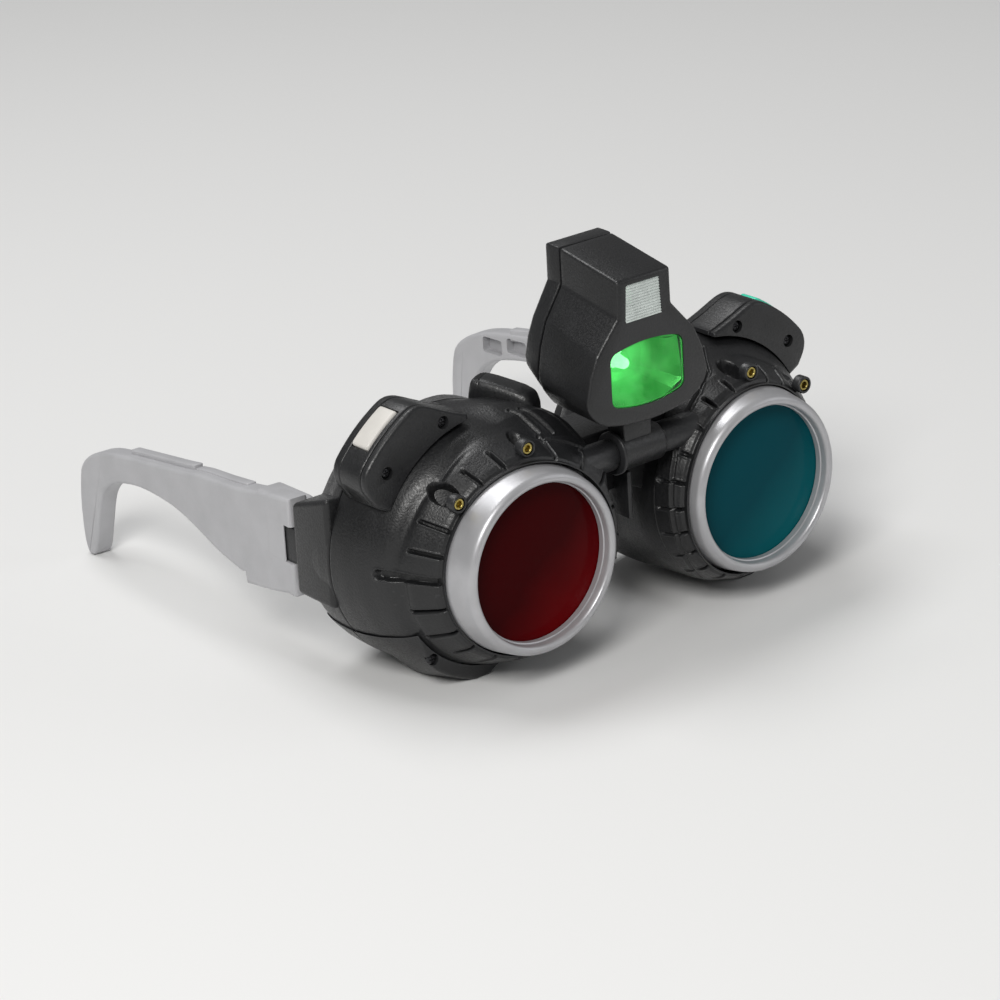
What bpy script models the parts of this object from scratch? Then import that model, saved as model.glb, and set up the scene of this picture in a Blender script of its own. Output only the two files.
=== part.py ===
"""Night vision goggles: two lens pods, folding side arms and a lamp that tilts over the nose.

X runs across, with the wearer's left at +X. Y runs from the lenses back to the ear hooks. Z is up.
Shapes are placed in the lens frame, whose origin lies midway between the two lens axes, in the plane
of the bezels. The lens_frame empty stands that frame over the middle of the object's base.
Angles round a pod start at the temple side and rise over the top to the nose side.
"""

import math

import bmesh
import bpy
from mathutils import Vector

# General fits
PART_GAP = 0.0003
OVERRUN = 0.002
MERGE = 0.000001

# Overall placing
LENS_SPACING = 0.0816
LENS_HEIGHT = 0.0365

# Lens and the bore of the front shell, which takes the bezel
LENS_RADIUS = 0.0246
LENS_THICKNESS = 0.0020
LENS_CROWN = 0.0013
LENS_BORDER = 0.0010
LENS_STEPS = 3
BEZEL_BORE_RADIUS = LENS_RADIUS + 0.0029
BEZEL_BORE_END = 0.0140
VOID_START = 0.0200

# Pod skin: the rim round the bezel leans back towards the temple, then the body swells
RIM_RADIUS = BEZEL_BORE_RADIUS + 0.0007
RIM_DEPTH = 0.0050
RIM_LEAN_SHARE = 0.11
TEMPLE_RADIUS = 0.0420
NOSE_RADIUS = 0.0330
STEP_DEPTH = 0.0180
SEAM_DEPTH = 0.0400
SHELL_WALL = 0.0022
SHELL_SIDES = 40
# First row of the skin that the nose bridge and the domed covers are fitted to
SEAT_FIRST_ROW = 2
# Each row: depth from rim to seam, swell on the temple side, swell on the nose side
SKIN_SHARES = (
    (0.0, 0.0, 0.0),
    (0.057, 0.10, 0.29),
    (0.27, 0.35, 0.85),
    (0.3714, 0.435, 1.0),
    (0.43, 0.565, 1.0),
    (0.515, 0.68, 1.0),
    (0.685, 0.855, 1.0),
    (0.857, 0.957, 1.0),
    (1.0, 1.0, 1.0),
)

# Tread slots round the rim
SLOT_COUNT = 22
SLOT_PHASE = 100.5
SLOT_WIDTH = 0.0026
SLOT_LENGTH = 0.0095
SLOT_DEPTH = 0.0016
SLOT_BACK = 0.0060
SLOT_PITCH = 27.0

# Rear shell
REAR_DEPTH = 0.0570
REAR_TAPER = 0.0030
# Each row: depth from the seam to the back, taper
REAR_SHARES = ((0.0, 0.0), (0.55, 0.17), (0.86, 0.67), (1.0, 1.0))
REAR_WALL = 0.0022
FOOT_RADIUS = 0.0430
FOOT_END = 0.0540
FOOT_SINK = 0.0012

# Bezel, lens tube and eyecup
BEZEL_BACK_RADIUS = BEZEL_BORE_RADIUS - PART_GAP
BEZEL_FRONT_RADIUS = LENS_RADIUS + 0.0014
BEZEL_CROWN_RADIUS = LENS_RADIUS - 0.0003
BEZEL_LIP_RADIUS = LENS_RADIUS - 0.0020
BEZEL_CROWN = 0.0019
BEZEL_SHOULDER_TURN = math.radians(40)
BEZEL_LIP_SHARE = 1 / 4
BEZEL_LEDGE = 0.0024
BEZEL_END = 0.0125
TUBE_WALL = 0.0014
EYECUP_LENGTH = 0.0044
EYECUP_INNER_RADIUS = LENS_RADIUS - 0.0011
EYECUP_OUTER_RADIUS = LENS_RADIUS + 0.0050
EYECUP_INNER_SHARE = 3 / 4
EYECUP_OUTER_SHARE = 2 / 3
RING_STEPS = 36

# Small lamp behind each lens
LENS_LED_RADIUS = 0.0015
LENS_LED_LENGTH = 0.0050
LENS_LED_ANGLE = -60.0

# Raised pod over the temple side: housing, crescent cover plate and screws
CREST_DEPTH = 0.0230
CREST_END = 0.0382
CREST_INNER_RADIUS = 0.0375
CREST_OUTER_RADIUS = 0.0505
CREST_PLATE = 0.0022
CREST_WALL = 0.0018
CREST_BEVEL = 0.0007
CREST_START_ANGLE = 30.0
CREST_TIP_ANGLE = 86.0
# Each row: angle round the pod, height above the inner radius
CREST_SHARES = (
    (29.0, 0.23),
    (31.0, 0.58),
    (34.0, 0.87),
    (38.0, 1.0),
    (43.0, 1.0),
    (48.0, 1.0),
    (53.0, 1.0),
    (58.0, 1.0),
    (63.0, 1.0),
    (66.5, 0.90),
    (70.0, 0.68),
    (73.0, 0.50),
    (77.0, 0.31),
    (81.0, 0.155),
    (86.0, 0.04),
)
CREST_INNER_STEP = 7.0
COVER_SCREWS = ((71.6, 0.0407), (42.0, 0.0440))
SCREW_HEAD_RADIUS = 0.0015
SCREW_HEAD_HEIGHT = 0.0010
SCREW_SHANK_RADIUS = 0.0008
SCREW_LENGTH = 0.0060
SCREW_SINK = 0.0004
SCREW_BOSS_RADIUS = 0.0018

# Push button and its switch
BUTTON_ANGLE = 52.0
BUTTON_LENGTH = 0.0150
BUTTON_WIDTH = 0.0086
BUTTON_DEPTH = 0.0312
BUTTON_PROUD = 0.0007
BUTTON_TRAVEL = 0.0010
BUTTON_FLANGE = 0.0012
BUTTON_STEM_RADIUS = 0.0018
BUTTON_STEM_LENGTH = 0.0026
BUTTON_BEVEL = 0.0005
SWITCH_SIZE = 0.0060
SWITCH_HEIGHT = 0.0022
SWITCH_PLUNGER_RADIUS = 0.0015

# Battery door, cells and their spring
DOOR_START_RADIUS = 0.0380
DOOR_FIRST_ANGLE = -30.0
DOOR_LAST_ANGLE = -85.0
DOOR_STEPS = 10
DOOR_SCREW = (-45.6, 0.0363)
CELL_RADIUS = 0.0058
CELL_LENGTH = 0.0054
CELL_COUNT = 2
CELL_ANGLE = -57.0
CRADLE_WALL = 0.0011
CRADLE_BITE = 0.0003
CELL_MARGIN = 0.0001
CELL_SPRING_LENGTH = 0.0026
CELL_SPRING_RADIUS = 0.0040
CELL_SPRING_WIRE = 0.0004
CELL_SPRING_TURNS = 2.5
SPRING_POINTS_A_TURN = 10

# Eyelets: the outer one mirrors, the upper one stands at the same angle on both pods
EYELET_RADIUS = 0.0017
EYELET_LENGTH = 0.0022
EYELET_PLACE_RADIUS = RIM_RADIUS + 0.0031
EYELET_BOSS_RADIUS = 0.0026
EYELET_BOSS_FRONT = 0.0080
EYELET_BOSS_LENGTH = 0.0090
EYELET_SHANK_RADIUS = 0.0009
EYELET_SHANK_LENGTH = 0.0030
EYELET_DISH_RADIUS = 0.0011
EYELET_DISH_DEPTH = 0.0012
OUTER_EYELET_ANGLE = 45.0
UPPER_EYELET_TURN = 86.0

# Side arms and their hinges
PIN_SPREAD = LENS_SPACING / 2 + 0.0354
PIN_DEPTH = REAR_DEPTH + 0.0092
PIN_RADIUS = 0.0012
ARM_TOE_IN = math.radians(3.3)
ARM_LENGTH = 0.1202
PIN_SETBACK = 0.0071
ARM_THICKNESS = 0.0065
ARM_OUTSIDE = 0.0048
ARM_BEVEL = 0.0008
KNUCKLE_RADIUS = 0.0044
KNUCKLE_TOP = 0.0128
KNUCKLE_BOTTOM = -0.0126
KNUCKLE_STEPS = 8
TAB_TOP = 0.0057
TAB_BOTTOM = -0.0047
HINGE_OUTSIDE = LENS_SPACING / 2 + 0.0412
HINGE_INSIDE = LENS_SPACING / 2 + 0.0327
HINGE_START = 0.0415
HINGE_FRONT_TOP = 0.0195
HINGE_REAR_TOP = 0.0140
HINGE_FRONT_BOTTOM = -0.0140
HINGE_REAR_BOTTOM = -0.0125
# Each row: distance along the arm, height over the lens axis as a share of the lens height
# The upper edge comes first
ARM_UPPER_ROWS = 11
ARM_SHARES = (
    (0.0, 0.395),
    (0.087, 0.364),
    (0.22, 0.290),
    (0.31, 0.257),
    (0.40, 0.233),
    (0.495, 0.181),
    (0.637, 0.118),
    (0.808, 0.041),
    (0.884, -0.019),
    (0.938, -0.101),
    (0.973, -0.195),
    (0.989, -0.318),
    (1.0, -0.592),
    (0.997, -0.86),
    (0.985, -0.975),
    (0.970, -1.0),
    (0.945, -0.93),
    (0.908, -0.551),
    (0.885, -0.397),
    (0.850, -0.293),
    (0.797, -0.211),
    (0.698, -0.153),
    (0.604, -0.151),
    (0.512, -0.184),
    (0.425, -0.263),
    (0.339, -0.356),
    (0.253, -0.416),
    (0.222, -0.419),
    (0.217, -0.507),
    (0.075, -0.438),
    (0.0, -0.37),
)
ARM_POCKETS = ((0.16, 0.215), (0.24, 0.33), (0.35, 0.44), (0.46, 0.55), (0.57, 0.66))
ARM_POCKET_HEIGHT_SHARE = 0.19
ARM_POCKET_DEPTH = 0.0030
RIDGE_SHARES = (0.405, 0.695)
RIDGE_WIDTH = 0.0030
RIDGE_HEIGHT = 0.0015
RIDGE_ROOT = 0.0030

# Lamp: outline as shares of its half width and height, rising over the nose
LAMP_HALF_WIDTH = 0.0218
LAMP_BOTTOM = 0.0303
LAMP_HEIGHT = 0.0420
LAMP_SHARES = (
    (0.0, 0.0),
    (0.35, 0.012),
    (0.674, 0.043),
    (0.83, 0.085),
    (0.94, 0.145),
    (0.99, 0.19),
    (1.0, 0.243),
    (0.931, 0.393),
    (0.812, 0.533),
    (0.44, 0.75),
    (0.436, 1.0),
)
LAMP_SPLIT = 0.0220
LAMP_CHAMFER_START = 0.0190
LAMP_REAR = 0.0290
LAMP_WALL = 0.0018
LAMP_RAKE_SHARE = 0.20
LAMP_CHAMFER_SHARE = 0.95
LAMP_RAKE_FULL_SHARE = 0.52
LAMP_BEVEL = 0.0007
TOP_WINDOW_HALF_WIDTH = 0.0064
TOP_WINDOW_BOTTOM = 0.0602
TOP_WINDOW_TOP = 0.0705
MAIN_WINDOW_HALF_WIDTH = 0.0128
MAIN_WINDOW_BOTTOM = 0.0352
MAIN_WINDOW_TOP = 0.0520
MAIN_WINDOW_ARCH = 0.0012
WINDOW_PROUD = 0.0003
WINDOW_THICKNESS = 0.0022
WINDOW_STEPS = 6
REFLECTOR_RADIUS = 0.0080
REFLECTOR_THROAT_RADIUS = 0.0028
REFLECTOR_DEPTH = 0.0095
REFLECTOR_WALL = 0.0008
REFLECTOR_HEIGHT = 0.0440
REFLECTOR_STEPS = 4
LED_RADIUS = 0.0025
LED_LENGTH = 0.0075
LED_DOME_ANGLES = (0, 30, 60, 90)
TOP_LED_HEIGHT = 0.0654
BOARD_DEPTH = 0.0150
BOARD_THICKNESS = 0.0015
BOARD_HALF_WIDTH = 0.0072
BOARD_BOTTOM = 0.0380
BOARD_TOP = 0.0690

# Bridge: rod and barrel that carry the lamp, and the arch between the pods
PIVOT_DEPTH = 0.0090
PIVOT_HEIGHT = 0.0200
ROD_RADIUS = 0.0020
ROD_HALF_LENGTH = LENS_SPACING / 2 - 0.0223
BARREL_RADIUS = 0.0055
BARREL_RIGHT_END = -0.0070
BARREL_LEFT_END = 0.0090
FLANGE_RADIUS = 0.0062
FLANGE_WIDTH = 0.0012
NECK_HALF_WIDTH = 0.0050
NECK_HALF_DEPTH = 0.0038
KNUCKLE_BOSS_RADIUS = 0.0045
KNUCKLE_BOSS_END = LENS_SPACING / 2 - 0.0148
BRIDGE_START = 0.0162
BRIDGE_END = 0.0340
BRIDGE_TOP = 0.0240
BRIDGE_ARCH_TOP = 0.0060
BRIDGE_ARCH_FOOT = -0.0070
BRIDGE_HALF_WIDTH = LENS_SPACING / 2 - 0.0208
BRIDGE_STEPS = 10
RIB_HALF_WIDTH = 0.0008
RIB_FRONT = 0.0100
RIB_TOP = 0.0125
RIB_BOTTOM = -0.0015

# Domed covers on the pods' inner shoulders, beside the lamp
BROW_OFFSET = 0.0173
BROW_DEPTH = 0.0302
BROW_LENGTH = 0.0170
BROW_WIDTH = 0.0085
BROW_ROOT = 0.0250
BROW_TOP = 0.0400
BROW_FALL = 0.0034
BROW_TURN = math.radians(29.0)
BROW_STEPS = 8
BROW_NARROW_SHARE = 0.45
# Each row: half width and drop below the top, as shares of the half width
BROW_SECTION_SHARES = ((0.0, 0.0), (0.45, 0.05), (0.8, 0.24), (1.0, 0.62))

SIDES = (("right", -1), ("left", 1))
# Colour, roughness and metallic value of each finish
FINISHES = {
    "body_black": ((0.020, 0.021, 0.024), 0.45, 0.0),
    "cover_black": ((0.030, 0.031, 0.034), 0.50, 0.0),
    "bezel_silver": ((0.62, 0.63, 0.64), 0.28, 1.0),
    "lens_red": ((0.10, 0.006, 0.010), 0.08, 0.0),
    "lens_teal": ((0.006, 0.070, 0.075), 0.08, 0.0),
    "inner_black": ((0.015, 0.015, 0.016), 0.70, 0.0),
    "soft_black": ((0.018, 0.018, 0.019), 0.85, 0.0),
    "arm_grey": ((0.40, 0.41, 0.42), 0.45, 0.0),
    "button_white": ((0.62, 0.60, 0.57), 0.45, 0.0),
    "button_teal": ((0.05, 0.62, 0.42), 0.35, 0.0),
    "eyelet_brass": ((0.45, 0.36, 0.16), 0.35, 1.0),
    "steel": ((0.55, 0.56, 0.58), 0.30, 1.0),
    "clear_window": ((0.80, 0.84, 0.86), 0.20, 0.0),
    "green_window": ((0.10, 0.85, 0.25), 0.12, 0.0),
    "reflector_chrome": ((0.80, 0.82, 0.82), 0.10, 1.0),
    "board_green": ((0.03, 0.20, 0.08), 0.50, 0.0),
    "led_clear": ((0.75, 0.95, 0.80), 0.15, 0.0),
    "switch_black": ((0.03, 0.03, 0.03), 0.50, 0.0),
}

FACING = (math.radians(90), 0.0, 0.0)
SIDEWAYS = (math.radians(90), 0.0, math.radians(90))
BACKWARD = (math.radians(-90), 0.0, 0.0)
LEVEL = (0.0, 0.0, 0.0)
ORIGIN = (0.0, 0.0, 0.0)

ARM_REAR = (
    PIN_DEPTH
    + (ARM_LENGTH - PIN_SETBACK) * math.cos(ARM_TOE_IN)
    + ARM_OUTSIDE * math.sin(ARM_TOE_IN)
)
BASE_DEPTH = (ARM_REAR - BEZEL_CROWN) / 2
LENS_SEAT = BEZEL_LEDGE + PART_GAP
TUBE_START = LENS_SEAT + LENS_THICKNESS + PART_GAP
TUBE_INNER_RADIUS = LENS_RADIUS - TUBE_WALL
# The cells stand clear of the lens tube, and as near the door as they can
CELL_CENTRE_RADIUS = max(
    LENS_RADIUS + PART_GAP + CRADLE_WALL + PART_GAP + CELL_RADIUS,
    DOOR_START_RADIUS - CELL_RADIUS - CELL_MARGIN,
)
HOUSING_START = CREST_DEPTH + CREST_PLATE + PART_GAP


# Objects, materials and modifiers


def clear_scene():
    for old in list(bpy.data.objects):
        bpy.data.objects.remove(old, do_unlink=True)


def make_collection(name):
    collection = bpy.data.collections.new(name)
    bpy.context.scene.collection.children.link(collection)
    return collection


def make_finish(name):
    colour, roughness, metallic = FINISHES[name]
    finish = bpy.data.materials.new(name)
    finish.use_nodes = True
    shader = finish.node_tree.nodes["Principled BSDF"]
    shader.inputs["Base Color"].default_value = (*colour, 1.0)
    shader.inputs["Roughness"].default_value = roughness
    shader.inputs["Metallic"].default_value = metallic
    return finish


def place(name, mesh, finish, location=ORIGIN, rotation=LEVEL, parent=None):
    """Puts a mesh in the scene: with a finish it is a part, without one it only shapes others."""
    thing = bpy.data.objects.new(name, mesh)
    thing.location = location
    thing.rotation_euler = rotation
    thing.parent = parent or lens_frame
    if finish:
        mesh.materials.append(finishes[finish])
        parts.objects.link(thing)
    else:
        thing.hide_render = True
        thing.display_type = "WIRE"
        tools.objects.link(thing)
    return thing


def make_empty(name, location, rotation=LEVEL, parent=None):
    empty = bpy.data.objects.new(name, None)
    empty.location = location
    empty.rotation_euler = rotation
    empty.parent = parent
    parts.objects.link(empty)
    return empty


def bevel(thing, width, segments=1):
    rounding = thing.modifiers.new("rounded_edges", "BEVEL")
    rounding.width = width
    rounding.segments = segments
    rounding.limit_method = "ANGLE"
    rounding.angle_limit = math.radians(40)
    return thing


def boolean(thing, operation, others):
    for other in others:
        step = thing.modifiers.new(other.name, "BOOLEAN")
        step.operation = operation
        step.solver = "MANIFOLD"
        step.object = other
    return thing


def cut(thing, *others):
    return boolean(thing, "DIFFERENCE", others)


def join(thing, *others):
    return boolean(thing, "UNION", others)


def smooth(mesh):
    mesh.shade_smooth()
    mesh.set_sharp_from_angle(angle=math.radians(35))


# Basic shapes


def mesh_from(name, form):
    bmesh.ops.recalc_face_normals(form, faces=form.faces)
    mesh = bpy.data.meshes.new(name)
    form.to_mesh(mesh)
    form.free()
    smooth(mesh)
    return mesh


def box(name, low, high, finish=None, parent=None):
    low, high = Vector(low), Vector(high)
    form = bmesh.new()
    bmesh.ops.create_cube(form, size=1)
    bmesh.ops.scale(form, vec=high - low, verts=form.verts)
    bmesh.ops.translate(form, vec=(low + high) / 2, verts=form.verts)
    return place(name, mesh_from(name, form), finish, parent=parent)


def rod(name, radius, start, end, finish=None, parent=None, sides=20, end_radius=None):
    """A round bar, or a cone when end_radius differs, from start to end."""
    start, end = Vector(start), Vector(end)
    run = end - start
    form = bmesh.new()
    bmesh.ops.create_cone(
        form,
        cap_ends=True,
        segments=sides,
        radius1=radius,
        radius2=radius if end_radius is None else end_radius,
        depth=run.length,
    )
    turn = Vector((0, 0, 1)).rotation_difference(run).to_matrix()
    bmesh.ops.rotate(form, matrix=turn, verts=form.verts)
    bmesh.ops.translate(form, vec=(start + end) / 2, verts=form.verts)
    return place(name, mesh_from(name, form), finish, parent=parent)


def loft(name, rings, finish=None, parent=None):
    """A skin through rings of equally many points, closed by a face at each end."""
    form = bmesh.new()
    rows = [[form.verts.new(point) for point in ring] for ring in rings]
    for first, second in zip(rows, rows[1:]):
        for i in range(len(first)):
            j = (i + 1) % len(first)
            form.faces.new((first[i], first[j], second[j], second[i]))
    form.faces.new(rows[0])
    form.faces.new(rows[-1])
    return place(name, mesh_from(name, form), finish, parent=parent)


def plate(name, outline, near, far, rotation, finish=None, location=ORIGIN, parent=None):
    """A flat outline extruded from near to far along the axis that its rotation faces."""
    curve = bpy.data.curves.new(name, "CURVE")
    curve.dimensions = "2D"
    curve.fill_mode = "BOTH"
    curve.extrude = abs(far - near) / 2
    spline = curve.splines.new("POLY")
    spline.points.add(len(outline) - 1)
    for point, (across, up) in zip(spline.points, outline):
        point.co = (across, up, 0, 1)
    spline.use_cyclic_u = True
    holder = bpy.data.objects.new(name + "_outline", curve)
    tools.objects.link(holder)
    bpy.context.view_layer.update()
    evaluated = holder.evaluated_get(bpy.context.evaluated_depsgraph_get())
    mesh = bpy.data.meshes.new_from_object(evaluated)
    mesh.name = name
    bpy.data.objects.remove(holder)
    form = bmesh.new()
    form.from_mesh(mesh)
    bmesh.ops.remove_doubles(form, verts=form.verts, dist=MERGE)
    form.to_mesh(mesh)
    form.free()
    smooth(mesh)
    middle = (near + far) / 2
    shift = {FACING: (0, middle, 0), SIDEWAYS: (middle, 0, 0), LEVEL: (0, 0, middle)}[rotation]
    spot = Vector(location) + Vector(shift)
    return place(name, mesh, finish, spot, rotation, parent)


def turned(name, profile, finish=None, location=ORIGIN, parent=None, steps=RING_STEPS, rotation=BACKWARD):
    """A profile of radius and depth turned round the depth axis. It ends on the axis or closes on itself."""
    closed = profile[0][0] > 0
    area = sum(
        a[0] * b[1] - b[0] * a[1] for a, b in zip(profile, profile[1:] + profile[:1])
    )
    points = profile if area < 0 else profile[::-1]
    edges = [(i, i + 1) for i in range(len(points) - 1)]
    if closed:
        edges.append((len(points) - 1, 0))
    mesh = bpy.data.meshes.new(name)
    mesh.from_pydata([(radius, 0, depth) for radius, depth in points], edges, [])
    thing = place(name, mesh, finish, location, rotation, parent)
    spin = thing.modifiers.new("turned", "SCREW")
    spin.steps = steps
    spin.render_steps = steps
    spin.use_merge_vertices = True
    spin.merge_threshold = MERGE
    spin.use_smooth_shade = True
    return thing


def wire(name, points, radius, finish, parent=None, resolution=1):
    curve = bpy.data.curves.new(name, "CURVE")
    curve.dimensions = "3D"
    curve.bevel_depth = radius
    curve.bevel_resolution = resolution
    curve.use_fill_caps = True
    spline = curve.splines.new("POLY")
    spline.points.add(len(points) - 1)
    for point, spot in zip(spline.points, points):
        point.co = (*spot, 1)
    thing = bpy.data.objects.new(name, curve)
    thing.parent = parent or lens_frame
    curve.materials.append(finishes[finish])
    parts.objects.link(thing)
    return thing


def inset(outline, distance):
    """The outline moved inwards by distance, corner by corner; it runs anticlockwise."""
    moved = []
    count = len(outline)
    for i, corner in enumerate(outline):
        before = Vector(corner) - Vector(outline[i - 1])
        after = Vector(outline[(i + 1) % count]) - Vector(corner)
        left_before = Vector((-before.y, before.x)).normalized()
        left_after = Vector((-after.y, after.x)).normalized()
        middle = (left_before + left_after).normalized()
        moved.append(Vector(corner) + middle * distance / middle.dot(left_before))
    return [tuple(corner) for corner in moved]


# Geometry of a pod


def polar(side, radius, angle, depth):
    """A point of a pod, with the angle in degrees from the temple side."""
    turn = math.radians(angle)
    middle = side * LENS_SPACING / 2
    return Vector((middle + side * radius * math.cos(turn), depth, radius * math.sin(turn)))


def outward(side, angle):
    """The direction away from the lens axis at an angle."""
    turn = math.radians(angle)
    return Vector((side * math.cos(turn), 0, math.sin(turn)))


def swell_share(angle):
    """How far the skin follows the temple side rather than the nose side."""
    share = (1 + math.cos(math.radians(angle))) / 2
    return share if math.sin(math.radians(angle)) >= 0 else share * share


def skin_radius(depth, angle):
    """Outer radius of the pod at a depth, counted where the rim doesn't lean."""
    along = (depth - RIM_DEPTH) / (SEAM_DEPTH - RIM_DEPTH)
    along = min(max(along, 0.0), 1.0)
    for (low, temple_low, nose_low), (high, temple_high, nose_high) in zip(SKIN_SHARES, SKIN_SHARES[1:]):
        if along <= high:
            mix = (along - low) / (high - low)
            temple = temple_low + mix * (temple_high - temple_low)
            nose = nose_low + mix * (nose_high - nose_low)
            break
    temple_radius = RIM_RADIUS + temple * (TEMPLE_RADIUS - RIM_RADIUS)
    nose_radius = RIM_RADIUS + nose * (NOSE_RADIUS - RIM_RADIUS)
    share = swell_share(angle)
    return nose_radius + share * (temple_radius - nose_radius)


def leaned_depth(depth, angle):
    """The depth once the rim leans back on the temple side; the lean ends at the step."""
    fade = max(0.0, 1 - (depth - RIM_DEPTH) / (STEP_DEPTH - RIM_DEPTH))
    return depth + RIM_LEAN_SHARE * RIM_RADIUS * math.cos(math.radians(angle)) * fade


def shell_angles():
    return [360.0 * i / SHELL_SIDES for i in range(SHELL_SIDES)]


def skin_ring(side, depth, grow=0.0):
    return [
        polar(side, skin_radius(depth, angle) + grow, angle, leaned_depth(depth, angle))
        for angle in shell_angles()
    ]


def plain_ring(side, radius, depth, base_depth):
    """A round ring at a depth that leans as the skin does at base_depth."""
    return [
        polar(side, radius, angle, depth + leaned_depth(base_depth, angle) - base_depth)
        for angle in shell_angles()
    ]


def skin_depths():
    return [RIM_DEPTH + row[0] * (SEAM_DEPTH - RIM_DEPTH) for row in SKIN_SHARES]


def slot_cutters(name, side):
    """One cutter mesh with a slanted block for each tread slot; eyelet bosses keep their place."""
    form = bmesh.new()
    for i in range(SLOT_COUNT):
        turn = SLOT_PHASE + 360.0 * i / SLOT_COUNT
        angle = turn if side > 0 else 180.0 - turn
        apart = min(abs((angle - eyelet + 180) % 360 - 180) for _, eyelet in eyelet_angles(side))
        if apart < 180.0 / SLOT_COUNT:
            continue
        base = RIM_DEPTH + SLOT_BACK
        spot = polar(side, skin_radius(base, angle), angle, leaned_depth(base, angle))
        away = outward(side, angle)
        backward = Vector((0, 1, 0))
        pitch = math.radians(SLOT_PITCH)
        along = backward * math.cos(pitch) + away * math.sin(pitch)
        up = away * math.cos(pitch) - backward * math.sin(pitch)
        across = along.cross(up)
        corners = []
        for a in (-SLOT_LENGTH / 2, SLOT_LENGTH / 2):
            for u in (-SLOT_DEPTH, SLOT_DEPTH + OVERRUN):
                for c in (-SLOT_WIDTH / 2, SLOT_WIDTH / 2):
                    corners.append(form.verts.new(spot + along * a + up * u + across * c))
        for face in ((0, 1, 3, 2), (4, 6, 7, 5), (0, 4, 5, 1), (2, 3, 7, 6), (0, 2, 6, 4), (1, 5, 7, 3)):
            form.faces.new([corners[k] for k in face])
    return place(name, mesh_from(name, form), None)


def crest_outline(side, grow=0.0, inner_radius=CREST_INNER_RADIUS):
    """The crescent of the raised pod, in x and z, grown all round by a clearance."""
    rise = CREST_OUTER_RADIUS - CREST_INNER_RADIUS
    spread = math.degrees(grow / CREST_INNER_RADIUS)
    points = []
    for angle, share in CREST_SHARES:
        lean = -spread if angle < CREST_START_ANGLE else spread if angle > CREST_TIP_ANGLE - 1 else 0.0
        points.append(polar(side, CREST_INNER_RADIUS + share * rise + grow, angle + lean, 0))
    steps = int((CREST_TIP_ANGLE - CREST_START_ANGLE) / CREST_INNER_STEP)
    for i in range(steps + 1):
        angle = CREST_TIP_ANGLE + (CREST_START_ANGLE - CREST_TIP_ANGLE) * i / steps
        points.append(polar(side, inner_radius - grow, angle, 0))
    return [(point.x, point.z) for point in points]


def button_local(side, along, rise):
    """x and z of a point beside the button's own radial line."""
    turn = math.radians(BUTTON_ANGLE)
    across = math.cos(turn) * rise - math.sin(turn) * along
    up = math.sin(turn) * rise + math.cos(turn) * along
    return side * across, up


def button_block(side, half_length, low, top_radius, steps=6):
    """A block with a round top, its ends square to the button's travel."""
    points = [button_local(side, -half_length, low), button_local(side, half_length, low)]
    for i in range(steps + 1):
        along = half_length - 2 * half_length * i / steps
        rise = math.sqrt(top_radius * top_radius - along * along)
        points.append(button_local(side, along, rise))
    return points


def sector_ring(side, depth, outer_radius, inner_offset):
    """A slice of the ring under the pod, flat where it meets the table."""
    outer, inner = [], []
    for i in range(DOOR_STEPS + 1):
        angle = DOOR_FIRST_ANGLE + (DOOR_LAST_ANGLE - DOOR_FIRST_ANGLE) * i / DOOR_STEPS
        drop = -math.sin(math.radians(angle))
        radius = min(outer_radius, LENS_HEIGHT / drop)
        outer.append(polar(side, radius, angle, depth))
        inner.append(polar(side, skin_radius(depth, angle) + inner_offset, angle, depth))
    return outer + inner[::-1]


def screw_shape(name, spot, finish=None, clearance=0.0):
    """A pan-head screw that points backward from spot; with a clearance it is the hole for one."""
    head, shank = SCREW_HEAD_RADIUS + clearance, SCREW_SHANK_RADIUS + clearance
    front = -OVERRUN if clearance else 0.0
    end = SCREW_LENGTH + clearance
    profile = [(0, front), (head, front), (head, SCREW_HEAD_HEIGHT), (shank, SCREW_HEAD_HEIGHT)]
    profile += [(shank, end), (0, end)]
    return turned(name, profile, finish, location=spot, steps=12)


# Parts of a pod


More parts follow.
